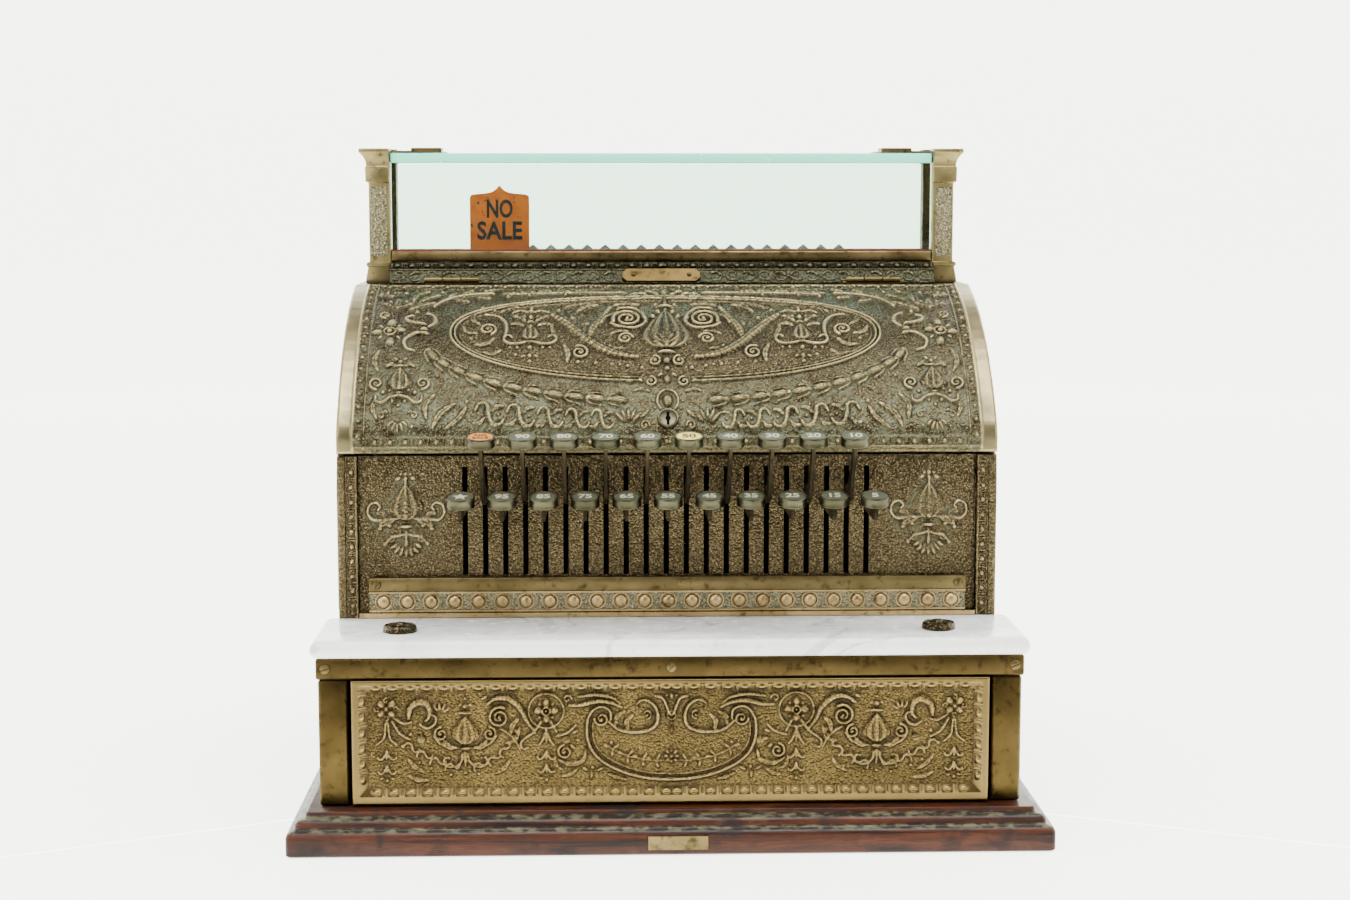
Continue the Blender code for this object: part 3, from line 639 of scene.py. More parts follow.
def smooth_path(points, spacing):
    """Even points along a Catmull-Rom curve through the given ones, and each one's share of the way."""
    knots = np.array([points[0], *points, points[-1]], float)
    fine = []
    for k in range(1, len(knots) - 2):
        a, b, c, d = knots[k - 1:k + 3]
        t = np.linspace(0, 1, 12, endpoint=False)[:, None]
        fine.append(0.5 * (2 * b + (c - a) * t + (2 * a - 5 * b + 4 * c - d) * t ** 2
                           + (3 * b - a - 3 * c + d) * t ** 3))
    fine = np.vstack([*fine, knots[-1:]])
    along = np.concatenate([[0], np.cumsum(np.hypot(*np.diff(fine, axis=0).T))])
    count = max(3, int(along[-1] / spacing) + 1)
    want = np.linspace(0, along[-1], count)
    path = np.column_stack([np.interp(want, along, fine[:, 0]), np.interp(want, along, fine[:, 1])])
    return path, want / max(along[-1], 1e-9)


# ================================================================ surfaces that carry relief

def flat_surface(origin, u_axis, v_axis):
    """(u, v) in mm on a plane, from a world point; the relief stands out along u x v."""
    origin, u_axis, v_axis = (np.array(a, float) for a in (origin, u_axis, v_axis))
    out = np.cross(u_axis, v_axis)

    def surface(U, V):
        points = origin + MM * (U[..., None] * u_axis + V[..., None] * v_axis)
        return points, np.broadcast_to(out, points.shape)
    return surface


def hull(points):
    """Convex hull, anticlockwise (monotone chain)."""
    points = sorted(set(points))

    def half(run):
        chain = []
        for p in run:
            while len(chain) > 1:
                (ax, ay), (bx, by) = chain[-2], chain[-1]
                if (bx - ax) * (p[1] - ay) - (by - ay) * (p[0] - ax) > 0:
                    break
                chain.pop()
            chain.append(p)
        return chain[:-1]
    return half(points) + half(points[::-1])


def section(node, start, end):
    """(y, z) along a node's outer profile, from the hull corner nearest start to the one nearest end."""
    mesh = frame["nodes"][node].data
    high = max(v.co.x for v in mesh.vertices)
    edge = hull([(round(v.co.y, 6), round(v.co.z, 6)) for v in mesh.vertices if v.co.x > high - 1e-4])
    first = min(range(len(edge)), key=lambda i: math.dist(edge[i], start))
    last = min(range(len(edge)), key=lambda i: math.dist(edge[i], end))
    ahead = [edge[(first + i) % len(edge)] for i in range((last - first) % len(edge) + 1)]
    behind = [edge[(first - i) % len(edge)] for i in range((first - last) % len(edge) + 1)]
    return max(ahead, behind, key=len)


def swept_surface(profile, side=1):
    """u runs along X and v along a (y, z) profile. side 1 puts the outside on the left of its direction."""
    profile = np.array(profile, float)
    fine = [profile[0]]
    for a, b in zip(profile, profile[1:]):
        steps = max(1, int(math.dist(a, b) / 0.002))
        fine += [a + (b - a) * (i + 1) / steps for i in range(steps)]
    fine = np.array(fine)
    along = np.concatenate([[0], np.cumsum(np.hypot(*np.diff(fine, axis=0).T))]) * 1000

    def surface(U, V):
        y, z = np.interp(V, along, fine[:, 0]), np.interp(V, along, fine[:, 1])
        reach = 2.5                  # mm each way over which the slope is taken
        dy = np.interp(V + reach, along, fine[:, 0]) - np.interp(V - reach, along, fine[:, 0])
        dz = np.interp(V + reach, along, fine[:, 1]) - np.interp(V - reach, along, fine[:, 1])
        size = np.hypot(dy, dz)
        points = np.stack([U * MM, y, z], -1)
        normals = np.stack([np.zeros_like(U), -side * dz / size, side * dy / size], -1)
        return points, normals
    surface.length = along[-1]
    return surface


def skin(name, relief, surface, body, material, damp=None, mirrored=False):
    """A closed thin casting: the relief on top, straight walls, and a plain underside within the solid."""
    U, V, heights = relief.U, relief.V, relief.h
    if mirrored:
        U, V, heights = -U[:, ::-1], V[:, ::-1], heights[:, ::-1]
    points, normals = surface(U, V)
    rows, columns = heights.shape
    top = points + normals * (heights[..., None] * MM)
    under = points - normals * (SKIN_DEPTH * MM)
    verts = np.vstack([top.reshape(-1, 3), under[:, 0], under[:, -1]])
    index = np.arange(rows * columns).reshape(rows, columns)
    left = rows * columns + np.arange(rows)
    right = left + rows
    a, b, c, d = index[:-1, :-1], index[:-1, 1:], index[1:, 1:], index[1:, :-1]
    quads = [np.stack([a, b, c, d], -1).reshape(-1, 4)]
    quads.append(np.stack([index[1:, 0], left[1:], left[:-1], index[:-1, 0]], -1))
    quads.append(np.stack([index[:-1, -1], right[:-1], right[1:], index[1:, -1]], -1))
    quads.append(np.stack([left[:-1], left[1:], right[1:], right[:-1]], -1))
    quads = np.vstack(quads)
    ends = [[left[0], right[0], *index[0, ::-1]], [*index[-1], right[-1], left[-1]]]
    facet = np.cross(top[0, 1] - top[0, 0], top[1, 0] - top[0, 0])
    if facet @ normals[0, 0] < 0:
        quads = quads[:, ::-1]
        ends = [end[::-1] for end in ends]
    mesh = bpy.data.meshes.new(name)
    mesh.from_pydata(verts.tolist(), [], quads.tolist() + [[int(i) for i in end] for end in ends])
    cells = max(1, round(1.3 / relief.step))                 # how far below its surroundings a point lies
    # sink is stored as the hollow attribute, from which cast_metal paints patina and painted shade into the
    # hollows and wear and a painted highlight onto the crests
    sink = (box_blur(heights, cells) - heights) / 0.8 + (box_blur(heights, 3 * cells) - heights) / 1.8
    values = {"hollow": sink, "damp": np.zeros_like(heights) if damp is None else damp(U, V),
              "bare": relief.calm[:, ::-1] if mirrored else relief.calm}
    for word, field in values.items():
        layer = mesh.attributes.new(word, "FLOAT", "POINT")
        edge = np.zeros(2 * rows)
        layer.data.foreach_set("value", np.concatenate([field.reshape(-1), edge]).astype(np.float32))
    finish_piece(name, mesh, body, material, angle=78)


def halves(name, relief, surface, body, material, damp=None):
    """The casting of a left half, and the same mirrored."""
    for word in SIDES:
        skin(name + "_" + word, relief, surface, body, material, damp, word == "right")


def both_sides(name, relief, reach):
    """One casting on the register's right and left, at that distance from the middle."""
    for word, sign in (("right", 1), ("left", -1)):
        surface = flat_surface((sign * reach, 0, 0), (0, sign, 0), (0, 0, 1))
        skin(name + "_" + word, relief, surface, "register", "body brass", None, sign < 0)


def plain_border(relief, gap, wide, tall, slope, edge):
    """A raised plain frame of that width round the field, with a rounded outer edge."""
    relief.calm = (gap < wide).astype(float)
    relief.h = np.where(gap < wide, 0, relief.h)
    relief.grain(0.06)
    relief.h += GROUND + tall * np.clip((wide - gap) / slope, 0, 1) - 0.9 * np.clip(1 - gap / edge, 0, 1) ** 2


# ================================================================ motifs

DIAGONALS = range(45, 405, 90)


def bell(pen):
    """A hanging husk with two curled feet; its top is the pen's origin."""
    pen.dome(0, -0.4, 1.8, 1.9, 1.5)
    pen.line([(0, -1), (0, -5.4)], (1.2, 0.9), 1.3)

    def foot(p):
        p.line([(-0.6, -1), (-1.6, -3.4), (-3.6, -5.6), (-5.6, -5.2)], (1.2, 1.5, 1.3, 1.0), 1.3)
        p.ball(-6.0, -4.4, 1.2, 1.3)
    pen.both(foot)


def drop(pen):
    pen.ball(0, 0, 1.6, 1.4)
    for sign in (1, -1):
        pen.dome(-3.2 * sign, 1.4, 1.9, 1.0, 1.1, 20 * sign)


def hook(pen):
    """A small S of ribbon."""
    pen.line([(-4.4, -2.0), (-3.8, 1.0), (-1.0, 2.0), (1.4, 0.2), (3.8, -0.4), (5.2, 1.8)],
             (0.9, 1.3, 1.4, 1.3, 1.1, 0.9), 1.3)
    pen.ball(5.0, 2.6, 1.2, 1.3)
    pen.ball(-4.2, -2.8, 1.3, 1.3)


def palmette(pen):
    """A shell of leaves that hangs from the pen's origin, with a curl at each side."""
    for i in range(7):
        share = i / 3 - 1
        x, y = polar(share * 62 - 90, 8.6, 8.4)
        pen.dome(x, y - 1.0, 1.7, 4.2 - abs(share) * 0.8, 1.6, share * 62)
    pen.line([(0, 4.5), (0, -4)], (1.0, 2.0), 1.4)

    def side(p):
        p.line([(0, 3.2), (-4, 1.6), (-9, 0.6), (-12.4, -2.6)], (0.9, 1.2, 1.4, 1.2), 1.3)
        p.ball(-13.2, -3.8, 1.9, 1.5)
        p.curl(-9.4, 0.2, 2.6, 200, 1.1, 0.8, 1.2)
    pen.both(side)


def urn(pen, tail=True):
    """A gadrooned bulb on a pad between two leafy scrolls; the pad is the pen's origin."""
    pen.dome(0, 0, 4.9, 1.6, 1.9)
    pen.dome(0, 2.6, 4.6, 0.7, 1.0)
    pen.onion(0, 4.2, 27.5, 10.8, 2.3)
    for x, low in ((0, 9.5), (-5.2, 10.5), (5.2, 10.5)):
        pen.beads(x, low, 3, 2.4, 0.75, 2.6 - abs(x) * 0.09)
    pen.line([(0, 24), (0, 29)], (1.0, 1.2), 1.6)
    pen.ball(0, 33.4, 1.8, 1.6)
    pen.dome(0, 30.2, 2.0, 1.8, 1.7)

    def side(p):
        p.dome(-4.6, 30.6, 2.6, 1.7, 1.6, 20)
        p.dome(-3.0, 33.2, 1.5, 1.2, 1.3, 40)
        p.line([(-4, 5.4), (-9, 4.6), (-15, 4.4), (-20.6, 4.4), (-24, 8.6), (-23, 13.6), (-18.8, 15.2),
                (-16.2, 12.8), (-17.6, 10.8)], (1.0, 1.4, 1.7, 1.6, 1.3, 1.1, 1.0, 0.9, 0.9), 1.5)
        p.leaf([(-7.6, 4.2), (-12, 3.2), (-16.6, 0.6)], 3.4, 1.9, 3)
        p.ball(-10.6, 0.9, 2.1, 1.8)
        p.ball(-16.4, -1.2, 2.1, 1.7)
        p.leaf([(-12, 6.4), (-16, 8.6), (-19, 8.2)], 1.8, 1.3, 2)
    pen.both(side)
    if tail:
        palmette(pen.at(0, -7.4))


def rosette(pen):
    pen.petals(0, 0, 4, 5.0, 3.3, 2.7, 1.9)
    pen.petals(0, 0, 4, 5.6, 1.5, 1.2, 1.3, 135)
    pen.petals(0, 0, 4, 6.0, 1.2, 0.8, 2.1)
    pen.ring(0, 0, 2.3, 2.3, 0.8, 2.3)
    pen.ball(0, 0, 1.1, 2.4)


def husk(pen, length):
    """A bud of a garland that points along the pen's own X, with thin leaves beside it."""
    pen.dome(0.5, 0, length * 0.52, 3.5, 2.5)
    pen.dome(-length * 0.30, 0, length * 0.22, 2.6, 2.2)
    pen.line([(-length * 0.42, 0), (length * 0.5, 0)], 0.32, 0.7, cut=True)
    for sign in (1, -1):
        pen.line([(-length * 0.46, sign * 0.8), (-length * 0.18, sign * 4.0), (length * 0.28, sign * 4.6)],
                 (0.6, 1.1, 0.4), 1.5)
        pen.line([(-length * 0.1, sign * 3.6), (length * 0.14, sign * 5.2), (length * 0.34, sign * 6.0)],
                 (0.6, 0.7, 0.35), 1.0)
        pen.ball(length * 0.02, sign * 5.8, 0.8, 1.1)


def sprig(pen):
    """Three leaves and berries that open upwards from the pen's origin."""
    pen.leaf([(0, 0), (0.4, 5), (0, 11)], 2.3, 1.5, 4)

    def side(p):
        p.leaf([(0, 1), (-4, 4.6), (-8.4, 6.4)], 2.0, 1.4, 3)
        p.ball(-4.6, 9.2, 1.2, 1.2)
    pen.both(side)


def bead_run(pen, start, end, pitch, draw):
    """Repeats draw along a straight run, turned to follow it."""
    (x0, y0), (x1, y1) = start, end
    count = max(1, round(math.dist(start, end) / pitch))
    turn = math.degrees(math.atan2(y1 - y0, x1 - x0))
    for i in range(count):
        t = (i + 0.5) / count
        draw(pen.at(x0 + (x1 - x0) * t, y0 + (y1 - y0) * t, turn=turn))


def barrel_and_reels(size=1.0):
    """One long bead and the two bars that part it from the next."""
    def draw(p):
        p.dome(0, 0, 3.1 * size, 1.9 * size, 1.1)
        for x in (4.2, 5.9):
            p.line([(x * size, -1.9 * size), (x * size, 1.9 * size)], 0.5, 0.9)
    return draw


def ringed_bead(radius, bars):
    """A round bead in its ring, with upright bars after it."""
    def draw(p):
        p.ball(0, 0, radius, 1.3)
        p.ring(0, 0, radius * 1.35, radius * 1.2, 0.35, 0.7)
        for x in bars:
            p.line([(x, -radius), (x, radius)], 0.45, 0.8)
    return draw


# ================================================================ plain pieces

def refined(node, body, material, bevel=0.0004, name=None, change=None):
    """A copy of a CAD solid with softly rounded edges, shown in its place. change moves single points."""
    source = frame["nodes"][node]
    mesh = source.data.copy()
    tidy = bmesh.new()
    tidy.from_mesh(mesh)
    bmesh.ops.remove_doubles(tidy, verts=tidy.verts, dist=2e-6)
    bmesh.ops.dissolve_limit(tidy, angle_limit=math.radians(1), verts=tidy.verts, edges=tidy.edges)
    bmesh.ops.recalc_face_normals(tidy, faces=tidy.faces)
    tidy.to_mesh(mesh)
    tidy.free()
    if change:
        for vert in mesh.vertices:
            vert.co = change(vert.co)
    mesh.materials.clear()
    return finish_piece(name or node + "_fine", mesh, body, material, (node,), bevel)


def painted(node, material):
    """Keeps a CAD solid as it is and gives it its finish."""
    mesh = frame["nodes"][node].data
    mesh.materials.clear()
    mesh.materials.append(MATERIALS[material])


JOINTS = {joint["name"]: joint for joint in frame["joints"]}
SIDES = ("left", "right")
FRONT = (0, -1, 0)                          # outward direction of everything the clerk sees
LID_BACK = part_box("lid")[1]
BODY_HALF = LID_BACK.x
PLATE_TOP = LID_BACK.z


def ring_of(half_x, front, back, z, radius):
    centre = (front + back) / 2
    return [(x, centre + y, z) for x, y in rounded_rectangle(half_x, (back - front) / 2, radius)]


def wood_base():
    low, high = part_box("wood_base")
    step = 0.0055                    # the first step stands this far in, the top step twice as far
    levels = ((0.0010, 0.0), (0.0, 0.0010), (0.0, 0.0118), (0.0008, 0.0138), (0.0026, 0.0150),
              (step - 0.0012, 0.0153), (step - 0.0006, 0.0160), (step - 0.0004, 0.0188),
              (step + 0.0010, 0.0206), (step + 0.0030, 0.0213), (2 * step - 0.0006, 0.0216),
              (2 * step - 0.0002, 0.0224), (2 * step, 0.0243), (2 * step + 0.0006, 0.0250))
    base = Shape()
    base.loft([ring_of(high.x - inset, low.y + inset, high.y - inset, z, 0.0030) for inset, z in levels])
    base.piece("moulded_base", "register", "mahogany", "mahogany", ("wood_base",), angle=40)


def marble_shelf():
    low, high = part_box("marble_shelf")
    radius = (high.z - low.z) / 2
    levels = [(radius * (1 - math.sin(t)) * 0.7, low.z + radius * (1 - math.cos(t)))
              for t in (math.pi * i / 12 for i in range(13))]
    slab = Shape()
    slab.loft([ring_of(high.x - inset, low.y + inset, high.y, z, 0.0020) for inset, z in levels])
    slab.piece("marble_slab", "register", "marble", "marble", ("marble_shelf",), angle=50)


def marble_button(side):
    """A domed flower that holds the marble down."""
    low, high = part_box("marble_button_" + side)
    x, y = (low.x + high.x) / 2, (low.y + high.y) / 2
    radius = (high.x - low.x) / 2
    tall = high.z - low.z
    rings, segments = 20, 96
    verts, faces = [(0, 0, tall)], []
    for k in range(1, rings + 1):
        t = k / rings
        for i in range(segments):
            turn = 2 * math.pi * i / segments
            dome = tall * (0.35 + 0.65 * math.sqrt(max(0, 1 - t * t)))
            swell = math.sin(math.pi * min(1, max(0, (t - 0.25) / 0.7)))
            petal = 0.0009 * abs(math.cos(4 * turn)) ** 0.5 * swell
            heart = 0.0007 if t < 0.22 else 0.0
            rim = 0.0006 if 0.88 < t < 0.97 else 0.0
            z = dome + petal - 0.0009 * (0.25 < t < 0.9) + heart + rim
            verts.append((radius * t * math.cos(turn), radius * t * math.sin(turn), z))
    foot = len(verts)
    for i in range(segments):
        turn = 2 * math.pi * i / segments
        verts.append((radius * math.cos(turn), radius * math.sin(turn), 0))
    for i in range(segments):
        faces.append((0, 1 + i, 1 + (i + 1) % segments))
    for k in range(rings):
        a, b = 1 + k * segments, 1 + (k + 1) * segments
        for i in range(segments):
            j = (i + 1) % segments
            faces.append((a + i, b + i, b + j, a + j))
    faces.append(tuple(range(foot, foot + segments))[::-1])
    button = Shape().put(verts, faces, Matrix.Translation((x, y, low.z)))
    button.piece("rosette_button_" + side, "register", "lid bronze",
                 "dark_bronze", ("marble_button_" + side,), angle=70)


def screw_shape(radius, height, turn):
    """A domed slotted screw head about its own origin, built in two halves beside the slot."""
    slot = radius * 0.13
    half = 10
    shape = Shape()
    for sign in (1, -1):
        rings = []
        for share, level in ((1.0, -0.0008), (1.0, height * 0.25), (0.86, height * 0.72), (0.5, height)):
            ring = []
            for i in range(half + 1):
                x, y = polar(180 * i / half, radius * share, radius * share - slot)
                ring.append((sign * x, sign * (slot + y), level))
            rings.append(ring)
        shape.loft(rings, Matrix.Rotation(turn, 4, "Z"))
    shape.turned([(0, -0.0008), (radius * 0.98, -0.0008), (radius * 0.98, height * 0.1), (0, height * 0.1)],
                 segments=20)
    return shape


def screws(name, body, places, radius):
    """Screw heads that face the clerk, each with its slot turned at random."""
    made = Shape()
    for place in places:
        head = screw_shape(radius, 0.0012, RNG.uniform(0, math.pi))
        made.put(head.verts, head.faces, facing(*place, FRONT))
    made.piece(name, body, "plain brass", "aged_brass")


def studs():
    """The row of domed studs in their rings, on the strip under the key bar."""
    low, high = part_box("stud_rail")
    face = low.y + 0.0022            # the strip lies behind the face of the bar above it
    z = low.z + 0.0069
    count, made = 25, Shape()
    pitch = 0.0150
    for i in range(count):
        x = (i - (count - 1) / 2) * pitch
        spot = facing(x, face, z, FRONT)
        dome = [(0, 0.0030)]
        for turn in range(75, -1, -15):
            across, up = polar(turn, 0.0040, 0.0026)
            dome.append((across, 0.0004 + up))
        made.turned(dome + [(0.0040, -0.0006), (0, -0.0006)], spot, 28)
        rim = [polar(45 * k, 0.0005) for k in range(8)]
        made.turned([(0.0050 + across, 0.0003 + up) for across, up in rim], spot, 28, hoop=True)
    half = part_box("key_panel")[1].x
    made.block((-half, face - 0.0006, low.z - 0.0033), (half, face + 0.0030, low.z - 0.0005))
    for edge in (low.z + 0.0010, low.z + 0.0127):
        made.block((-high.x, face - 0.0008, edge - 0.0005), (high.x, face + 0.0003, edge + 0.0005))
    made.piece("studs", "register", "edge brass", "aged_brass")

    width, tall = 2 * high.x / MM - 0.8, 10.6
    relief = Relief(0, width, 0, tall, 0.7)
    relief.grain(0.05)
    relief.h += 0.15
    skin("stud_strip", relief, flat_surface((-high.x + 0.0004, face, low.z + 0.0016), (1, 0, 0), (0, 0, 1)),
         "register", "strip brass", lambda U, V: np.full_like(U, 0.7))


def post(node):
    """A square post with a spreading foot and a coved capital."""
    low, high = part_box(node)
    sign = 1 if low.x > 0 else -1
    front = node.startswith("post_front")
    toward = -1 if front else 1
    inner = low.x if sign > 0 else high.x
    spread = 0.0062
    outer = (high.x if sign > 0 else low.x) - sign * spread
    face = (low.y if front else high.y) - toward * spread * 0.6
    back = high.y if front else low.y
    tall = high.z - low.z
    cap, glass = tall - 0.0231, tall - 0.0099
    levels = [(0, 0.0022), (0.0006, 0.0026), (0.0026, 0.0026), (0.0050, 0.0022), (0.0090, 0.0014),
              (0.0112, 0.0012), (0.0116, 0.0020), (0.0128, 0.0024), (0.0140, 0.0020), (0.0146, 0.0002),
              (0.0160, 0), (cap - 0.0006, 0), (cap, 0.0008), (cap + 0.0006, 0.0020), (cap + 0.0104, 0.0022),
              (cap + 0.0112, 0.0014), (glass, 0.0016), (glass + 0.0020, 0.0022), (glass + 0.0040, 0.0032),
              (glass + 0.0058, 0.0046), (glass + 0.0070, 0.0058), (glass + 0.0076, 0.0062),
              (tall - 0.0006, 0.0062), (tall, 0.0056)]
    rings = []
    for rise, out in levels:
        far_x, far_y = outer + sign * out, face + toward * out * 0.6
        half = (abs(far_x - inner) / 2, abs(far_y - back) / 2)
        centre = ((far_x + inner) / 2, (far_y + back) / 2)
        rings.append([(x, y, low.z + rise) for x, y in rounded_rectangle(*half, 0.0009, 3, centre)])
    # the rear posts take the much darker corner brass instead of post brass: painted shade, as they are seen
    # from the side away from the light
    paint = "post brass" if front else "corner brass"
    Shape().loft(rings).piece(node + "_turned", "register", paint, "aged_brass", (node,), angle=32)
    stippled_face(node + "_stipple", inner + sign * 0.0022, outer - sign * 0.0012, face, toward,
                  low.z + 0.0185, low.z + cap - 0.0030)


def stippled_face(name, inner, outer, y, toward, low, high):
    """The hammered field on a post's face."""
    x0, x1 = sorted((inner, outer))
    width, height = (x1 - x0) / MM, (high - low) / MM
    relief = Relief(0, width, 0, height, 0.45)
    relief.grain(0.16)
    edge = np.minimum.reduce([relief.U, width - relief.U, relief.V, height - relief.V])
    relief.h = relief.h * np.clip(edge - 0.6, 0, 1) + 0.16
    start, along = (x0, 1) if toward < 0 else (x1, -1)
    skin(name, relief, flat_surface((start, y, low), (along, 0, 0), (0, 0, 1)), "register",
         "strip brass")


def glass_top():
    low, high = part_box("glass_top")
    rings = []
    for inset, z in ((0.0009, low.z), (0.0002, low.z + 0.0005), (0, low.z + 0.0012), (0, high.z - 0.0012),
                     (0.0002, high.z - 0.0005), (0.0009, high.z)):
        rings.append(ring_of(high.x - inset, low.y + inset, high.y - inset, z, 0.0012))
    mesh = Shape().loft(rings).mesh("top_glass")
    mesh.materials.append(MATERIALS["pane"])
    mesh.materials.append(MATERIALS["glass edge"])
    for face in mesh.polygons:
        face.material_index = int(abs(face.normal.z) < 0.9)
    finish_piece("top_glass", mesh, "register", "pane", ("glass_top",))


def lid_lock():
    """A nickel barrel with an upright key slot, which is a flat near-black piece painting the shade inside
    the keyhole.
    """
    spot = facing(*JOINTS["lock_turn"]["pos_m"], JOINTS["lock_turn"]["axis"])
    profile = [(0, 0.0010), (0.0046, 0.0010), (0.0051, 0.0012), (0.0054, 0.0019), (0.0058, 0.0022),
               (0.0064, 0.0021), (0.0068, 0.0015), (0.0069, 0.0004), (0.0065, -0.0004), (0.0064, -0.0078),
               (0, -0.0078)]
    barrel = Shape().turned(profile, spot, 48)
    barrel.piece("lock_barrel", "lid_lock", "worn nickel", "worn_nickel", ("lid_lock",))
    # the keyhole is not cut: a thin dark piece on the barrel's face stands for the painted shade inside it
    slot = Shape()
    outline = rounded_rectangle(0.0009, 0.0047, 0.0008, 4)
    slot.loft([[(x, y, z) for x, y in outline] for z in (0.0006, 0.00108)], spot)
    slot.turned([(0, 0.0006), (0.0017, 0.0006), (0.0017, 0.00109), (0, 0.00109)], spot, 20)
    slot.piece("lock_key_slot", "lid_lock", "key slot", "worn_nickel")


def hinge(side):
    low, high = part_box("lid_hinge_" + side)
    y, z = JOINTS["lid_hinge"]["pos_m"][1:]
    leaf = 0.0008
    made = Shape()
    length = (high.x - low.x) / 3
    for i in range(3):
        start = low.x + i * length + 0.0002
        end = start + length - 0.0004
        spot = Matrix.Translation((start, y, z)) @ Matrix.Rotation(math.pi / 2, 4, "Y")
        run = end - start
        made.turned([(0, 0), (0.0015, 0), (0.0019, 0.0004), (0.0019, run - 0.0004), (0.0015, run), (0, run)],
                    spot, 20)
    made.block((low.x + leaf, y + 0.0005, PLATE_TOP + 0.0003), (high.x - leaf, y + 0.0034, z - 0.0002))
    name = "hinge_knuckles_" + side
    made.piece(name, "register", "plain brass", "aged_brass", ("lid_hinge_" + side,))


def ogee_head(half, shoulder, tip):
    """Half outline of a tablet's head, from its right shoulder to its tip."""
    rise = tip - shoulder
    shares = ((1.0, 0.0), (0.99, 0.13), (0.955, 0.23), (0.89, 0.30), (0.70, 0.34), (0.48, 0.38), (0.31, 0.45),
              (0.19, 0.57), (0.10, 0.74), (0.04, 0.90))
    right = [(half * a, shoulder + rise * b) for a, b in shares]
    return right + [(0, tip)] + [(-x, z) for x, z in reversed(right)]


def plate(outline, x, y, thick):
    """A flat plate of an (x, z) outline, upright and facing the clerk."""
    return [[(x + a, y + side * thick / 2, z) for a, z in outline] for side in (-1, 1)]


def no_sale_tablet():
    low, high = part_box("no_sale_tablet")
    x, y = (low.x + high.x) / 2, (low.y + high.y) / 2
    half, foot, thick, rod = (high.x - low.x) / 2, 0.3440, high.y - low.y, 0.0025
    head = ogee_head(half, high.z - 0.0090, high.z)
    made = Shape().loft(plate([(half, foot + 0.001), *head, (-half, foot + 0.001), (-half + 0.001, foot),
                               (half - 0.001, foot)], x, y, thick))
    made.loft(plate([(rod, low.z), (rod, foot + 0.0006), (-rod, foot + 0.0006), (-rod, low.z)], x, y, thick))
    made.piece("sale_tablet", "no_sale_tablet", "orange", "orange_enamel", ("no_sale_tablet",), 0.0002)
    for words, z, size, wide in (("NO", 0.3826, 0.0172, 0.68), ("SALE", 0.3674, 0.0172, 0.86)):
        spot = facing(x, low.y - 0.0001, z, FRONT)
        lettering("tablet_word_" + words.lower(), words, size, 0.0002, spot, "no_sale_tablet",
                  "black paint", 1.02, wide, 0.0005)


def lowered_tablets():
    low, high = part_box("tablet_bank")
    y, thick = (low.y + high.y) / 2, high.y - low.y
    made = Shape()
    half = KEY_PITCH * 0.47
    for i in KEYS:
        if i == ORANGE_KEY:
            continue
        x = key_x(i)
        peak = high.z + 0.0018
        head = [(half, peak - 0.0052), (half * 0.5, peak - 0.0024), (0, peak), (-half * 0.5, peak - 0.0024),
                (-half, peak - 0.0052)]
        made.loft(plate([(half, low.z + 0.004), *head, (-half, low.z + 0.004)], x, y, thick * 0.85))
    made.block((low.x, low.y, low.z), (high.x, high.y, low.z + 0.008))
    made.piece("lowered_tablets", "register", "tablet grey", "grey_enamel", ("tablet_bank",), 0.0001)


KEYS = range(1, 22)
ORANGE_KEY, YELLOW_KEY = 2, 12
KEY_LABELS = {i: str(5 * (22 - i)) for i in KEYS if i > ORANGE_KEY}
HIGH_CAP, LOW_CAP = 0.2486, 0.2117          # tops of the caps of the even and of the odd keys
CAP_Y, CAP_TILT, CAP_THICK = -0.1475, math.radians(12), 0.0068
LABEL_TOP = 0.0030                          # over the middle of a cap
CUP = ((0.0076, 0.0027), (0.0077, 0.0031), (0.0080, 0.0033), (0.0086, 0.0033), (0.0090, 0.0028),
       (0.0090, 0.0021), (0.0088, 0.0016), (0.0088, -0.0018), (0.0090, -0.0022), (0.0089, -0.0028),
       (0.0084, -0.0032), (0.0060, -0.0033), (0.0, -0.0033), (0.0, -0.0029), (0.0076, -0.0029))


def key_x(i):
    return JOINTS["key_%02d_press" % i]["pos_m"][0]


KEY_PITCH = key_x(2) - key_x(1)


def key(i):
    """A lever with its round cap: a nickel cup, a painted label, and the figure on it."""
    body = "key_%02d" % i
    top = LOW_CAP if i % 2 else HIGH_CAP
    spot = Matrix.Translation((key_x(i), CAP_Y, top - CAP_THICK / 2)) @ Matrix.Rotation(CAP_TILT, 4, "X")
    back = spot.inverted()

    def inside_cup(point):
        """Draws the lever's own plain cap in, so that the cup hides it."""
        x, y, z = back @ point
        if math.hypot(x, y) < 0.0085 or abs(z) > 0.0036:
            return point
        return spot @ Vector((0.9 * x, 0.9 * y, 0.8 * z))
    refined(body, body, "lever steel", 0.0003, body + "_lever", inside_cup)
    Shape().turned(CUP, spot, 40).piece(body + "_cup", body, "worn nickel", "worn_nickel", angle=50)
    label = Shape().turned([(0, 0.0024), (0.0079, 0.0024), (0.0079, 0.0028), (0.0070, LABEL_TOP),
                            (0.0, LABEL_TOP)], spot, 40)
    paint = {YELLOW_KEY: "yellow label", ORANGE_KEY: "orange label"}.get(i, "black label")
    label.piece(body + "_label", body, paint, "worn_nickel")
    key_figure(i, body, spot, "cream paint" if paint == "black label" else "black paint")


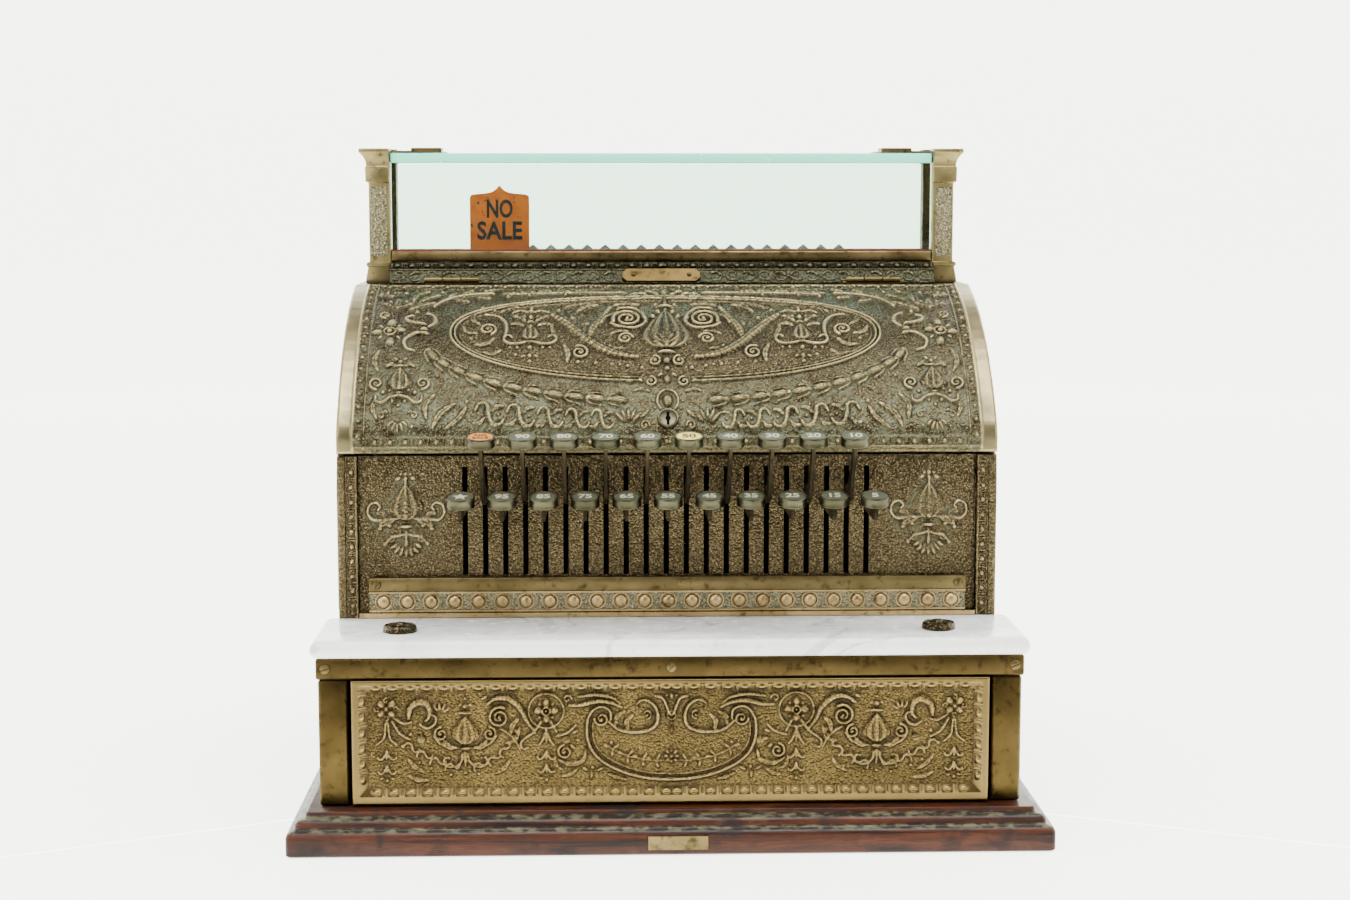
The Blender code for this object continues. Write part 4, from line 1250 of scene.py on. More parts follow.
def key_figure(i, body, spot, ink):
    """The number on a label, the words NO SALE, or the first key's star."""
    def words(name, text, y, size, spacing, stretch, heavy):
        lettering(body + "_" + name, text, size, 0.00012, spot @ Matrix.Translation((0, y, LABEL_TOP)),
                  body, ink, spacing, stretch, heavy)
    if i in KEY_LABELS:
        words("figure", KEY_LABELS[i], 0, 0.0096, 0.95, 0.95, 0.00022)
    elif i == ORANGE_KEY:
        words("no", "NO", 0.0024, 0.0052, 1.0, 0.9, 0.00018)
        words("sale", "SALE", -0.0026, 0.0052, 1.0, 0.9, 0.00018)
    else:
        points = [polar(90 + 36 * k, 0.0022 if k % 2 else 0.0050) for k in range(10)]
        star = Shape().loft([[(a, b, z) for a, b in points] for z in (0.0029, 0.0032)], spot)
        star.piece(body + "_star", body, ink, "worn_nickel")


# ================================================================ cast ornament

def drawer_ornament():
    """The left half of the drawer front; u is x and v is z, in mm."""
    low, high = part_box("drawer_front")
    x0, z0, z1 = low.x / MM, low.z / MM, high.z / MM
    relief = Relief(x0, 0, z0, z1, 0.5)
    pen = Pen(relief)
    reel = barrel_and_reels()
    bead_run(pen, (-184, 97.8), (2, 97.8), 10.4, reel)
    bead_run(pen, (-184, 34.2), (2, 34.2), 10.4, reel)
    bead_run(pen, (-186.8, 37), (-186.8, 95), 10.4, reel)
    corner_flower(pen)
    pendant_garland(pen)
    drawer_urn(pen)
    drawer_scroll(pen)
    ring_flower(pen)
    cartouche(pen)

    top, bottom, side = z1 - relief.V, relief.V - z0, relief.U - x0
    slope = np.minimum.reduce([(top - 3.2) / 4.4, (bottom - 5.4) / 4.8, (side - 4.4) / 4.8])
    edge = np.minimum.reduce([top, bottom, side])
    frame_height = 2.4 * (1 - np.clip(slope, 0, 1)) - 0.9 * np.clip(1 - edge / 0.9, 0, 1) ** 2
    relief.calm = (slope < 1.02).astype(float)
    relief.soften()
    relief.grain(0.05)
    relief.h += frame_height + GROUND
    surface = flat_surface((0, low.y, 0), (1, 0, 0), (0, 0, 1))
    halves("drawer_casting", relief, surface, "drawer", "front brass")


def corner_flower(pen):
    flower = pen.at(-172.5, 85.5)
    flower.fan(0, 0, DIAGONALS, 4.4, 4.0, 3.3, 2.6, 1.9)
    for turn in range(0, 360, 90):
        flower.curl(*polar(turn, 5.6, 5.2), 1.7, turn, 0.8, 0.8, 1.5)
    flower.ball(0, 0, 1.8, 2.4)
    pen.ball(-172, 77.2, 1.3)
    pen.line([(-173, 77), (-174, 68), (-178.5, 63.5)], (0.9, 1.2, 0.9), 1.3)
    pen.line([(-171.5, 77), (-170.5, 68), (-166.5, 63.5)], (0.9, 1.2, 0.9), 1.3)
    pen.line([(-169, 78), (-164, 70), (-158, 66.5)], (1.0, 1.4, 0.9), 1.4)
    pen.line([(-168, 80), (-162, 76.5), (-157.5, 77.5)], (1.0, 1.3, 0.9), 1.3)
    pen.ball(-163, 62.5, 1.5)
    bell(pen.at(-172.5, 59.4, 0.92))
    bell(pen.at(-172.5, 50.2, 0.86))
    drop(pen.at(-172.5, 41.0))


def pendant_garland(pen):
    pen.line([(-159, 80), (-158, 86), (-153, 89.4), (-147.6, 87.6), (-146.4, 81.4), (-149, 78)],
             (1.6, 2.6, 3.0, 2.7, 2.0, 1.2), 1.9, ribs=2.0)
    pen.line([(-152.5, 76), (-148, 73.6), (-143.6, 76), (-142.6, 80), (-145, 82)],
             (0.9, 1.3, 1.4, 1.1, 0.8), 1.5)
    pen.fan(-140, 82, range(35, 126, 30), 4.6, 4.6, 3.1, 1.2, 1.5)
    pen.ball(-158, 70, 1.5)
    pen.ball(-155.5, 74, 1.1)
    for x, y, turn in ((-158, 61.5, -40), (-150, 56.8, -25), (-142, 52.6, -20), (-133, 49.6, -8),
                       (-116, 50.2, 10), (-107.6, 54, 26), (-101, 59.6, 42)):
        hook(pen.at(x, y, 0.92, turn=turn))
    for x, y in ((-146, 48.6), (-134, 44.4), (-117, 45.0), (-153, 52), (-105, 48.6)):
        pen.ball(x, y, 1.3)
    pen.leaf([(-160, 55), (-156, 50), (-150, 46)], 1.8, 1.3, 3)
    pen.leaf([(-98, 54), (-101, 49), (-107, 45)], 1.8, 1.3, 3)
    pen.leaf([(-160, 44), (-154, 41.4), (-147, 41)], 1.7, 1.2, 3)


def drawer_urn(pen):
    pen.dome(-125, 61, 3.9, 1.4, 1.9)
    pen.onion(-125, 63.5, 81.5, 8.6, 2.3)
    for dx, low in ((0, 67.5), (-3.6, 68.5), (3.6, 68.5)):
        pen.beads(-125 + dx, low, 4, 1.9, 0.7, 2.6)
    pen.dome(-125, 82.8, 5.2, 1.2, 1.7)
    pen.dome(-125, 87, 2.2, 2.0, 1.8)
    pen.ball(-125, 91.6, 1.3)
    axis = pen.at(-125, 0)

    def side(p):
        p.curl(-14.6, 70, 4.3, 90, 1.4, 1.2, 1.6, eye=1.0)
        p.line([(-5, 61.2), (-10, 62), (-15.4, 64.4), (-19, 69)], (1.0, 1.6, 1.5, 1.0), 1.6)
        p.leaf([(-7, 60.6), (-11, 62.8), (-13, 66)], 2.4, 1.7, 3)
        p.line([(-1.8, 57), (-2.4, 53), (-5.4, 50)], (1.4, 1.2, 1.2), 1.5)
        p.line([(-5, 50), (-9.6, 49.6), (-13, 51.6), (-12.6, 54.8), (-9.6, 55)],
               (0.9, 1.2, 1.2, 1.0, 0.8), 1.4)
        p.dome(-3.2, 87.6, 1.8, 1.1, 1.3, 30)
    axis.both(side)
    pen.line([(-125, 58), (-125, 50)], (1.6, 0.9), 1.5)
    drop(pen.at(-125, 45.6, 0.8))
    pen.ball(-125, 40.2, 1.2)


def drawer_scroll(pen):
    pen.dome(-113.4, 92, 2.6, 1.3, 1.4, 20)
    pen.dome(-110, 88.6, 2.0, 1.2, 1.3, 50)
    pen.line([(-112, 88), (-106, 91.6), (-98, 90.8), (-91.5, 85), (-88, 78), (-84, 72.5), (-82.6, 70)],
             (1.0, 1.9, 2.4, 2.5, 2.1, 1.4, 0.8), 1.9, ribs=2.4)
    pen.curl(-104.4, 80, 6.6, 60, 1.7, 1.4, 1.7, eye=1.3)
    pen.leaf([(-92.5, 79), (-96.5, 75), (-97, 70)], 2.1, 1.5, 3)
    pen.leaf([(-92, 74), (-95, 66), (-101, 64)], 2.0, 1.4, 3)
    pen.ball(-94.4, 71.5, 1.3)
    pen.ball(-99, 92.8, 1.1)
    pen.line([(-104, 73), (-99, 70), (-95, 66), (-92, 60)], (0.9, 1.3, 1.2, 0.8), 1.3)


def ring_flower(pen):
    flower = pen.at(-76, 83.8)
    flower.ring(0, 0, 10.6, 10.6, 0.85, 1.3)
    rosette(flower)
    pen.line([(-79, 77), (-84, 70.5), (-91, 65), (-90.4, 60.6), (-87, 60.8)], (1.2, 1.4, 1.2, 1.0, 0.8), 1.4)
    pen.line([(-73, 77), (-69.6, 70.5)], (1.2, 0.9), 1.3)
    pen.line([(-76, 73), (-76, 64)], (1.4, 1.0), 1.5)
    for sign in (1, -1):
        pen.line([(-76 + sign * 0.8, 70), (-76 + sign * 2.4, 65.5), (-76 + sign * 4.6, 62.6)],
                 (1.2, 1.2, 0.8), 1.4)
    bell(pen.at(-76, 58.8, 0.9))
    bell(pen.at(-76, 50.2, 0.82))
    drop(pen.at(-76, 40.8, 0.9))


def cartouche(pen):
    """The framed field in the middle, filled with a plain branch of husks."""
    pen.line([(-51, 78), (-51.4, 70), (-49.6, 62), (-45, 55), (-36, 48.6), (-24, 43.8), (-12, 41.4),
              (0, 40.6)], 1.3, 1.9)
    pen.line([(-47.6, 76), (-48, 70), (-46.4, 63), (-42, 57), (-33.6, 51.4), (-22.6, 47), (-11, 44.7),
              (0, 44)], 0.6, 1.1)
    pen.curl(-42.4, 78.6, 4.4, 180, 1.3, 1.1, 1.6, eye=1.0)
    pen.line([(-50.6, 79), (-47.6, 84), (-42.4, 86.2), (-37.4, 83.6), (-36.8, 78)],
             (0.9, 1.2, 1.3, 1.2, 0.8), 1.6)
    pen.line([(-62, 87), (-55, 87.2), (-45, 89.4), (-37, 88.6), (-30, 85.6)],
             (1.0, 1.9, 2.0, 1.7, 1.0), 1.9, ribs=1.9)
    pen.line([(-57, 92.2), (-46, 93.4), (-36, 91.6), (-31, 88)], (0.8, 1.5, 1.5, 0.8), 1.6, ribs=1.8)
    pen.curl(-63, 91, 2.6, 0, 1.1, 0.9, 1.4)
    pen.line([(-38, 77), (-32, 72), (-24, 70.2), (-15.4, 71), (-10, 74), (-8.2, 79), (-9.2, 84.6),
              (-12.4, 88.6), (-17, 90.2), (-21, 88), (-20.4, 84.6)],
             (1.0, 1.3, 1.4, 1.4, 1.5, 1.6, 1.5, 1.4, 1.2, 1.0, 0.8), 1.9)
    pen.curl(-15, 81.4, 3.0, 270, 1.2, 0.9, 1.4)
    pen.leaf([(-26, 71), (-27, 77), (-23, 81)], 2.0, 1.4, 3)
    pen.leaf([(-34, 74), (-33, 80), (-28, 83)], 1.8, 1.3, 3)
    pen.line([(-10, 92.4), (-5.4, 91.2), (-3, 86.4), (-1.4, 82), (0, 81)], (0.9, 1.3, 1.3, 1.2, 1.0), 1.6)
    pen.ring(0, 80.6, 2.6, 2.6, 0.7, 1.5)
    pen.dome(0, 92.4, 1.7, 2.6, 1.8)
    pen.ball(-3, 93, 1.1, 1.4)
    pen.ball(0, 76, 1.3, 1.5)
    pen.dome(0, 71.4, 1.5, 2.6, 1.7)
    pen.ball(-36.6, 64, 1.2)
    branch = [(-36, 60), (-27, 55.6), (-18, 53.4), (-9.6, 52.4)]
    pen.line([(-40, 63), *branch, (0, 52)], 0.7, 1.0)
    for (x, y), turn in zip(branch, (-28, -22, -12, -6)):
        pen.fan(x, y, (turn + 62, turn - 62), 3.0, 3.0, 2.7, 1.15, 1.5)
        pen.dome(x - 4.2, y + 1.8, 2.4, 1.1, 1.4, turn)
    pen.petals(0, 55.4, 8, 3.3, 1.9, 1.15, 1.7)
    pen.ball(0, 55.4, 1.7, 2.2)
    pen.line([(-70, 68), (-63, 70.4), (-58, 75)], (0.9, 1.3, 0.9), 1.4)
    pen.curl(-64.6, 58.4, 4.6, 100, 1.4, 1.2, 1.5, eye=1.0)
    pen.leaf([(-69, 54), (-62, 50.4), (-54, 53), (-52, 60)], 1.9, 1.5, 5)
    for x, y, turn in ((-58.4, 70.6, 20), (-57, 65.6, -10), (-60, 61.4, -40)):
        pen.dome(x, y, 2.6, 1.4, 1.5, turn)
    for x, y, turn in ((-52.6, 47.6, 150), (-48.6, 43.4, 90), (-43.4, 47.4, 30)):
        pen.dome(x, y, 2.9, 1.3, 1.6, turn)
    pen.ball(-48, 48.4, 1.4, 1.7)
    pen.leaf([(-39, 44.6), (-34, 42.4), (-27, 40.6)], 1.5, 1.2, 3)
    pen.leaf([(-57, 48), (-61, 44.6), (-67, 43)], 1.6, 1.2, 3)
    pen.leaf([(-66, 47), (-70, 50), (-71, 55)], 1.5, 1.1, 3)


# ---------------------------------------------------------------- lid

OVAL = {"height": 95.0, "wide": 137.0, "tall": 42.5, "power": 2.2}


def oval_point(turn, grow=0.0):
    """A point of the lid's central oval, for a turn from its right end."""
    c, s = math.cos(turn), math.sin(turn)
    share = 2 / OVAL["power"]
    return ((OVAL["wide"] + grow) * math.copysign(abs(c) ** share, c),
            OVAL["height"] + (OVAL["tall"] + grow) * math.copysign(abs(s) ** share, s))


def lid_ornament():
    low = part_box("lid")[0]
    surface = swept_surface(section("lid", (low.y, low.z), (LID_BACK.y, LID_BACK.z)))
    half, length = BODY_HALF / MM, surface.length
    band = 10.6                      # mm of plain band down each side
    relief = Relief(-half, 0, 0, length, 0.62)
    pen = Pen(relief)
    lid_borders(pen, length)
    lid_oval(pen)
    lid_corner(pen)
    lid_garland(pen)
    lid_side_urn(pen)
    lid_acanthus(pen)
    lid_centre_urn(pen)
    lid_lower(pen)
    relief.soften()
    side = relief.U + half
    plain = (side < band) | (relief.V < 4.6) | (relief.V > length - 6)
    relief.calm = np.where(side < band, 1.0, 0.35 * plain)
    relief.grain(0.045)
    edge = np.minimum.reduce([side, relief.V, length - relief.V])
    relief.h += GROUND + 0.5 * plain - 0.7 * np.clip(1 - edge / 1.6, 0, 1) ** 2
    lock = (relief.U ** 2 + (relief.V - lock_height(surface)) ** 2) ** 0.5
    relief.h = np.where(lock < 7.6, np.minimum(relief.h, GROUND), relief.h)

    def damp(U, V):
        """Green low down on the lid, and outside its central oval."""
        oval = (np.abs(U) / 137) ** 2.2 + (np.abs(V - 95) / 42) ** 2.2
        low_down = np.clip(1.25 - V / 80, 0, 1) * np.clip(oval - 0.6, 0, 1)
        return 1.1 * low_down + 0.4 * np.clip(oval - 0.9, 0, 1)
    halves("lid_casting", relief, surface, "lid", "lid bronze", damp)


def lock_height(surface):
    """How far up the lid's curve the lock sits, in mm."""
    spot = JOINTS["lock_turn"]["pos_m"]
    along = np.linspace(0, surface.length, 800)
    points = surface(np.zeros_like(along), along)[0]
    return along[np.argmin(np.hypot(points[:, 1] - spot[1], points[:, 2] - spot[2]))]


def lid_borders(pen, length):
    bead = ringed_bead(2.0, (4.0, 5.6))
    bead_run(pen, (-195, 6), (-195, length - 5), 9.7, bead)
    for x in (-198.2, -191.2):
        pen.line([(x, 3), (x, length - 2)], 0.55, 0.9)
    bead_run(pen, (-189, 7.2), (4, 7.2), 9.7, ringed_bead(2.0, (-4.8, 4.8)))
    for y in (4.7, 9.8):
        pen.line([(-198, y), (4, y)], 0.5, 0.8)
    bead_run(pen, (-189, length - 8.5), (4, length - 8.5), 9.7, ringed_bead(1.9, (-4.8, 4.8)))
    for y in (length - 12, length - 5.2):
        pen.line([(-191, y), (4, y)], 0.5, 0.8)


def lid_oval(pen):
    turns = np.linspace(math.pi / 2, math.pi * 1.47, 70)
    pen.line([oval_point(t, 2.6) for t in turns], 1.0, 1.7)
    pen.line([oval_point(t) for t in turns], 0.9, 1.5)
    pen.line([oval_point(t, -3.0) for t in turns], 0.5, 0.9)
    pen.curl(-10.6, 49.4, 3.8, 90, -1.3, 1.1, 1.8, eye=1.1)
    pen.dome(0, 51.4, 2.6, 3.8, 2.0)
    pen.dome(-4.4, 55.0, 2.6, 1.4, 1.6, 40)
    pen.ball(-17.5, 51.0, 1.5, 1.6)
    pen.dome(-23.5, 49.6, 3.6, 1.6, 1.5, 8)


def lid_corner(pen):
    """The urn in the corner, its pendant palmette and the knot of ribbon above it."""
    corner = pen.at(-170, 0)
    corner.fan(0, 23, range(-142, -37, 26), 5.2, 6.4, 3.8, 1.4, 1.6)
    corner.ball(0, 32, 1.3, 1.4)
    corner.dome(0, 41, 3.6, 1.3, 1.8)
    corner.onion(0, 43, 61, 8.6, 2.4)
    for dx, low in ((0, 47), (-3.8, 48), (3.8, 48)):
        corner.beads(dx, low, 4, 1.9, 0.75, 2.6)
    corner.dome(0, 62.4, 4.0, 1.5, 1.9)
    corner.dome(0, 66, 1.9, 2.6, 1.8)

    def side(p):
        p.ball(-4, 35, 1.4, 1.5)
        p.line([(-0.5, 39), (-6, 37.2), (-10, 34), (-14, 34.6), (-14.6, 39)], (1.4, 1.8, 1.7, 1.3, 1.0), 1.7)
        p.ball(-10, 41.6, 1.6, 1.6)
        p.ball(-6, 43.2, 1.2, 1.4)
        p.curl(-14.6, 48.2, 4.6, 270, -1.35, 1.3, 1.8, eye=1.1)
        p.leaf([(-2.4, 62), (-6, 64.4), (-9, 62)], 2.0, 1.6, 3)
        p.dome(-3.0, 68.6, 2.6, 1.2, 1.5, 130)
        p.dome(-7.4, 27.6, 2.2, 1.1, 1.3, 140)
        p.curl(-10, 24.6, 2.4, 60, 1.1, 0.9, 1.4)
    corner.both(side)
    pen.leaf([(-183, 22), (-186, 30), (-184, 38)], 2.0, 1.4, 4)
    pen.leaf([(-184, 58), (-187, 68), (-184, 77)], 2.2, 1.4, 4)
    flower = pen.at(-179, 95)
    for x, y, turn in ((1, 9.6, 85), (6.6, 1.4, 0), (1, -10, 95), (-7.6, -1, 10)):
        flower.dome(x, y, 4.8, 3.6, 2.0, turn)
    flower.ring(0, 0, 3.6, 3.6, 0.8, 1.9)
    flower.ball(0, 0, 2.2, 2.5)
    flower.fan(0, 0, DIAGONALS, 8.0, 8.0, 2.4, 1.2, 1.5)
    pen.line([(-155, 93), (-161, 93.4), (-166, 90), (-169, 85), (-167, 78), (-162, 76)],
             (1.6, 2.2, 2.2, 1.9, 1.5, 1.0), 1.8)
    pen.dome(-157, 97, 3.2, 2.4, 2.2)
    pen.line([(-157, 103), (-162, 104), (-167, 106), (-169, 110), (-165, 113)],
             (1.4, 2.0, 2.0, 1.6, 1.0), 1.8)
    pen.line([(-154, 100), (-150, 105), (-151, 112), (-156, 116)], (1.4, 1.9, 1.6, 1.0), 1.6)
    pen.ball(-162.6, 118, 1.7, 1.7)
    pen.curl(-183, 114, 3.6, 270, -1.3, 1.1, 1.6, eye=1.0)
    sprig(pen.at(-176, 123, 1.15))
    sprig(pen.at(-181, 141, 0.9, turn=20))
    pen.leaf([(-168, 121), (-160, 128), (-151, 131)], 2.6, 1.6, 5)
    pen.leaf([(-163, 128), (-158, 138), (-149, 144)], 2.4, 1.5, 5)
    pen.leaf([(-166, 134), (-164, 145), (-156, 151)], 2.2, 1.4, 4)
    pen.line([(-152, 126), (-146, 134), (-137, 141), (-126, 145), (-114, 147)],
             (1.2, 1.6, 1.7, 1.5, 1.0), 1.5)
    for x, y, turn in ((-143, 141, 60), (-133, 148, 50), (-120, 151.4, 35), (-138, 136, -20),
                       (-124, 140.6, -15), (-108, 147.5, 10), (-96, 149.5, 5), (-84, 151, 5),
                       (-72, 151.6, 0), (-60, 152, 0)):
        across, up = polar(turn, 1)
        pen.leaf([(x, y), (x + 4 * across, y + 4 * up), (x + 9 * across, y + 7 * up)], 2.0, 1.4, 3)
    for x, y in ((-148, 150), (-104, 142), (-90, 144.6), (-172, 148), (-66, 145.8), (-50, 148)):
        pen.ball(x, y, 1.4, 1.4)
    pen.line([(-104, 145), (-80, 147.4), (-52, 148.4), (-26, 148.6)], (1.2, 1.1, 1.1, 1.0), 1.3)


def lid_garland(pen):
    """Husks that follow the oval's lower left side."""
    centres = [(-153, 76), (-148, 68), (-139, 61.4), (-128.5, 55.4), (-117, 50.6), (-104.6, 46.6),
               (-92, 43.4), (-79, 40.8), (-66, 38.6), (-52.6, 37.0), (-39, 35.8), (-26, 35.2)]
    for (xa, ya), (xb, yb) in zip(centres, centres[1:]):
        turn = math.degrees(math.atan2(yb - ya, xb - xa))
        husk(pen.at((xa + xb) / 2, (ya + yb) / 2, 0.95, turn=turn), 15.5)


def lid_side_urn(pen):
    axis = pen.at(-88, 0)
    axis.ball(0, 66.4, 1.6, 1.6)
    axis.dome(0, 71.4, 1.6, 2.6, 1.7)
    axis.ball(0, 79, 1.8, 1.8)
    axis.dome(0, 84.4, 4.4, 1.2, 1.9)
    axis.onion(0, 86.4, 102, 7.4, 2.3)
    for dx in (0, -3.0, 3.0):
        axis.beads(dx, 90.4, 3, 1.9, 0.7, 2.5)
    axis.dome(0, 105.4, 3.2, 1.2, 1.8)
    axis.dome(0, 111, 1.9, 3.0, 1.8)
    axis.ball(0, 118.6, 1.8, 1.8)
    axis.dome(0, 123, 1.2, 2.2, 1.5)

    def side(p):
        p.dome(-4, 71.2, 2.2, 1.3, 1.5, 30)
        p.ball(-8.2, 79, 1.4, 1.5)
        p.ball(-12.8, 79.4, 1.2, 1.3)
        p.line([(-3, 83.8), (-8, 82.2), (-13.4, 82.6), (-16.8, 86.4), (-15, 90.6), (-11.8, 89.4)],
               (1.2, 1.7, 1.6, 1.3, 1.0, 0.8), 1.7)
        p.leaf([(-4.6, 101), (-9, 104), (-13, 102)], 2.1, 1.6, 3)
        p.leaf([(-3.4, 106), (-7, 111), (-11.6, 112.4)], 2.2, 1.6, 3)
        p.dome(-4.4, 112, 1.5, 2.4, 1.5, 20)
        p.line([(-2, 117.6), (-7, 119.4), (-12, 117)], (0.9, 1.2, 0.9), 1.3)
    axis.both(side)
    pen.curl(-115.6, 97, 5.7, 300, 1.6, 1.4, 1.7, eye=1.3)
    pen.line([(-105, 88), (-103.4, 96), (-104.6, 105), (-110, 112), (-118, 114)],
             (1.0, 1.6, 1.7, 1.4, 0.9), 1.6)
    pen.leaf([(-111, 88), (-117, 82), (-124, 82)], 2.2, 1.5, 4)
    pen.leaf([(-122, 93), (-129, 95), (-132, 101)], 2.1, 1.4, 4)
    pen.leaf([(-121, 103), (-126, 109), (-124, 116)], 2.1, 1.4, 4)
    pen.leaf([(-106, 77), (-112, 73), (-118, 75)], 2.0, 1.4, 3)
    pen.leaf([(-108, 118), (-102, 123), (-96, 124)], 2.0, 1.4, 3)
    for x, y in ((-126, 88), (-112, 120), (-97, 72.6), (-101, 130), (-120, 124)):
        pen.ball(x, y, 1.4, 1.4)


def lid_acanthus(pen):
    """The large leaves and spirals beside the central urn."""
    pen.line([(-19, 70), (-28, 71.6), (-38, 75.4), (-48, 83), (-57.6, 94), (-66, 105), (-74, 113)],
             (1.8, 3.4, 4.2, 4.4, 4.0, 3.2, 1.8), 2.2, ribs=3.6)
    pen.line([(-22, 70.6), (-36, 74.6), (-48, 83.6), (-60, 97.6), (-73, 112)], 0.55, 0.8, cut=True)
    pen.line([(-50, 87), (-48, 97), (-43, 108), (-39, 117), (-36, 124)],
             (1.8, 3.2, 3.4, 2.8, 1.4), 2.0, ribs=3.4)
    pen.line([(-49.4, 90), (-45.6, 103), (-38, 121)], 0.5, 0.7, cut=True)
    for x, y in ((-61, 110), (-51, 103), (-70, 120), (-57, 66), (-45.4, 65), (-35, 64), (-25, 62.6),
                 (-16, 61)):
        pen.ball(x, y, 1.6, 1.6)
    pen.curl(-25, 108.4, 9.6, 200, -1.9, 1.9, 2.0, 0.22, eye=1.9)
    pen.line([(-42, 104), (-39, 111), (-32, 115.4)], (1.2, 1.9, 1.4), 1.7)
    pen.line([(-31, 121.6), (-21, 121.6), (-14.6, 113), (-13.6, 104), (-20, 98.4), (-30, 99.6), (-36, 104)],
             (1.0, 1.8, 2.0, 1.8, 1.7, 1.6, 1.0), 1.8)
    pen.curl(-26.4, 87.4, 5.0, 20, 1.5, 1.4, 1.8, eye=1.2)
    pen.leaf([(-36, 92), (-31, 95.4), (-24, 94.8)], 1.9, 1.5, 3)
    pen.leaf([(-66.4, 82), (-63.4, 74), (-64, 66)], 2.3, 1.6, 4)
    pen.curl(-56, 74.4, 5.8, 110, -1.5, 1.4, 1.7, eye=1.3)
    pen.leaf([(-70, 88), (-74, 98), (-73.6, 104)], 1.9, 1.4, 3)
    pen.leaf([(-58, 118), (-52, 125), (-44, 127)], 2.4, 1.6, 4)
    pen.leaf([(-66, 124), (-58, 129), (-49, 130)], 1.9, 1.3, 4)
    pen.leaf([(-34, 127), (-26, 129.6), (-17, 128)], 1.9, 1.4, 3)
    pen.leaf([(-38, 82), (-34, 79), (-28, 78.4)], 1.6, 1.3, 3)
    pen.ball(-30, 64, 1.2, 1.4)


def lid_centre_urn(pen):
    pen.ball(0, 60.4, 2.0, 1.8)
    pen.curl(-8, 66.6, 4.2, 90, -1.3, 1.2, 1.9, eye=1.1)
    pen.dome(0, 67, 3.0, 3.4, 2.0)
    pen.dome(0, 74.6, 7.0, 1.7, 2.2)
    pen.onion(0, 77.6, 118, 17.6, 3.0, 7, 0.3)
    for turn in range(42, 139, 24):
        x, y = polar(turn, 10.08, 10)
        pen.line([(0, 80), (x, 80 + y)], (0.8, 1.2), 3.0)
    for x in (-13, -8, 0):
        pen.ball(x, 104.6 if x else 103, 1.7, 2.2)
    for x, y, turn in ((-13.6, 108.6, 130), (-8, 110.6, 110), (-4.6, 116.4, 110), (0, 118.4, 90)):
        pen.dome(x, y, 4.2, 2.0, 2.2, turn)
    pen.dome(0, 125, 7.0, 1.6, 2.0)
    pen.ball(-6.2, 127.6, 1.4, 1.8)
    pen.ball(0, 128.6, 1.8, 2.0)
    pen.line([(0, 129), (0, 140)], (1.4, 1.0), 1.8)
    pen.dome(0, 147, 2.8, 5.0, 2.2)
    for x, y, turn in ((-5.6, 144, 130), (-9.6, 148.4, 150), (-14.8, 145, 165)):
        pen.dome(x, y, 5.0, 1.9, 1.9, turn)
    pen.curl(-20, 142.4, 3.4, 60, 1.2, 1.1, 1.6, eye=1.0)
    pen.line([(-4, 139.6), (-10, 137.6), (-16, 139)], (1.0, 1.5, 1.0), 1.5)


def ribbed_scroll(pen):
    """A ribbed leaf, 20 mm long, that turns over twice, with a side leaf each way and a berry."""
    pen.line([(-8.6, 4.0), (-5.4, 8.6), (-1.2, 7.0), (-0.4, 0.6), (2.0, -5.6), (7.2, -6.6), (10.2, -2.4)],
             (1.0, 2.2, 2.8, 2.6, 2.4, 1.9, 0.8), 1.9, ribs=2.2)
    pen.line([(-7.4, 6.2), (-2.4, 6.8), (-1.4, 0.2), (1.4, -6.0), (7.6, -5.4)], 0.4, 0.6, cut=True)
    pen.leaf([(1.8, 2.0), (5.2, 6.4), (9.8, 6.8)], 2.0, 1.5, 3)
    pen.leaf([(-2.4, -1.6), (-5.6, -5.6), (-10.2, -5.6)], 1.9, 1.5, 3)
    pen.ball(6.2, 0.8, 1.1, 1.4)
    pen.ball(-9.8, 0.6, 0.9, 1.2)


def lid_lower(pen):
    """Leaves and ribbons between the oval and the bottom border."""
    pen.leaf([(-148, 16), (-143, 26), (-134, 33)], 3.0, 1.7, 5)
    pen.leaf([(-140, 15.6), (-132, 22), (-127, 31)], 2.4, 1.6, 5)
    pen.leaf([(-152, 22), (-153, 32), (-147, 40)], 2.4, 1.5, 4)
    pen.ball(-127, 34.4, 1.7, 1.7)
    for x, y, size in ((-113, 24.6, 0.98), (-93.4, 23.4, 0.94), (-74.8, 22.2, 0.86), (-57.6, 21.4, 0.8),
                       (-41.8, 21, 0.76)):
        ribbed_scroll(pen.at(x, y, size))
    pen.fan(-25, 16, range(52, 129, 19), 9, 9, 6.0, 1.6, 1.6)
    pen.curl(-14.6, 17.4, 3.0, 0, 1.2, 1.0, 1.5, eye=0.9)
    pen.dome(0, 35, 3.6, 5.0, 2.4)
    pen.ring(0, 35, 6.6, 8.0, 0.9, 1.7)
    for turn in range(0, 360, 30):
        pen.at(0, 35).ball(*polar(turn, 9.4, 10.6), 1.0, 1.2)
    pen.leaf([(-12, 28), (-17, 24), (-22, 26)], 1.9, 1.4, 3)
    pen.leaf([(-11, 42), (-17, 44), (-22, 42)], 1.8, 1.3, 3)
    for x, y in ((-161, 17), (-152, 49), (-146, 54.6), (-90, 32), (-62, 29), (-38, 26)):
        pen.ball(x, y, 1.2, 1.3)


# ---------------------------------------------------------------- body

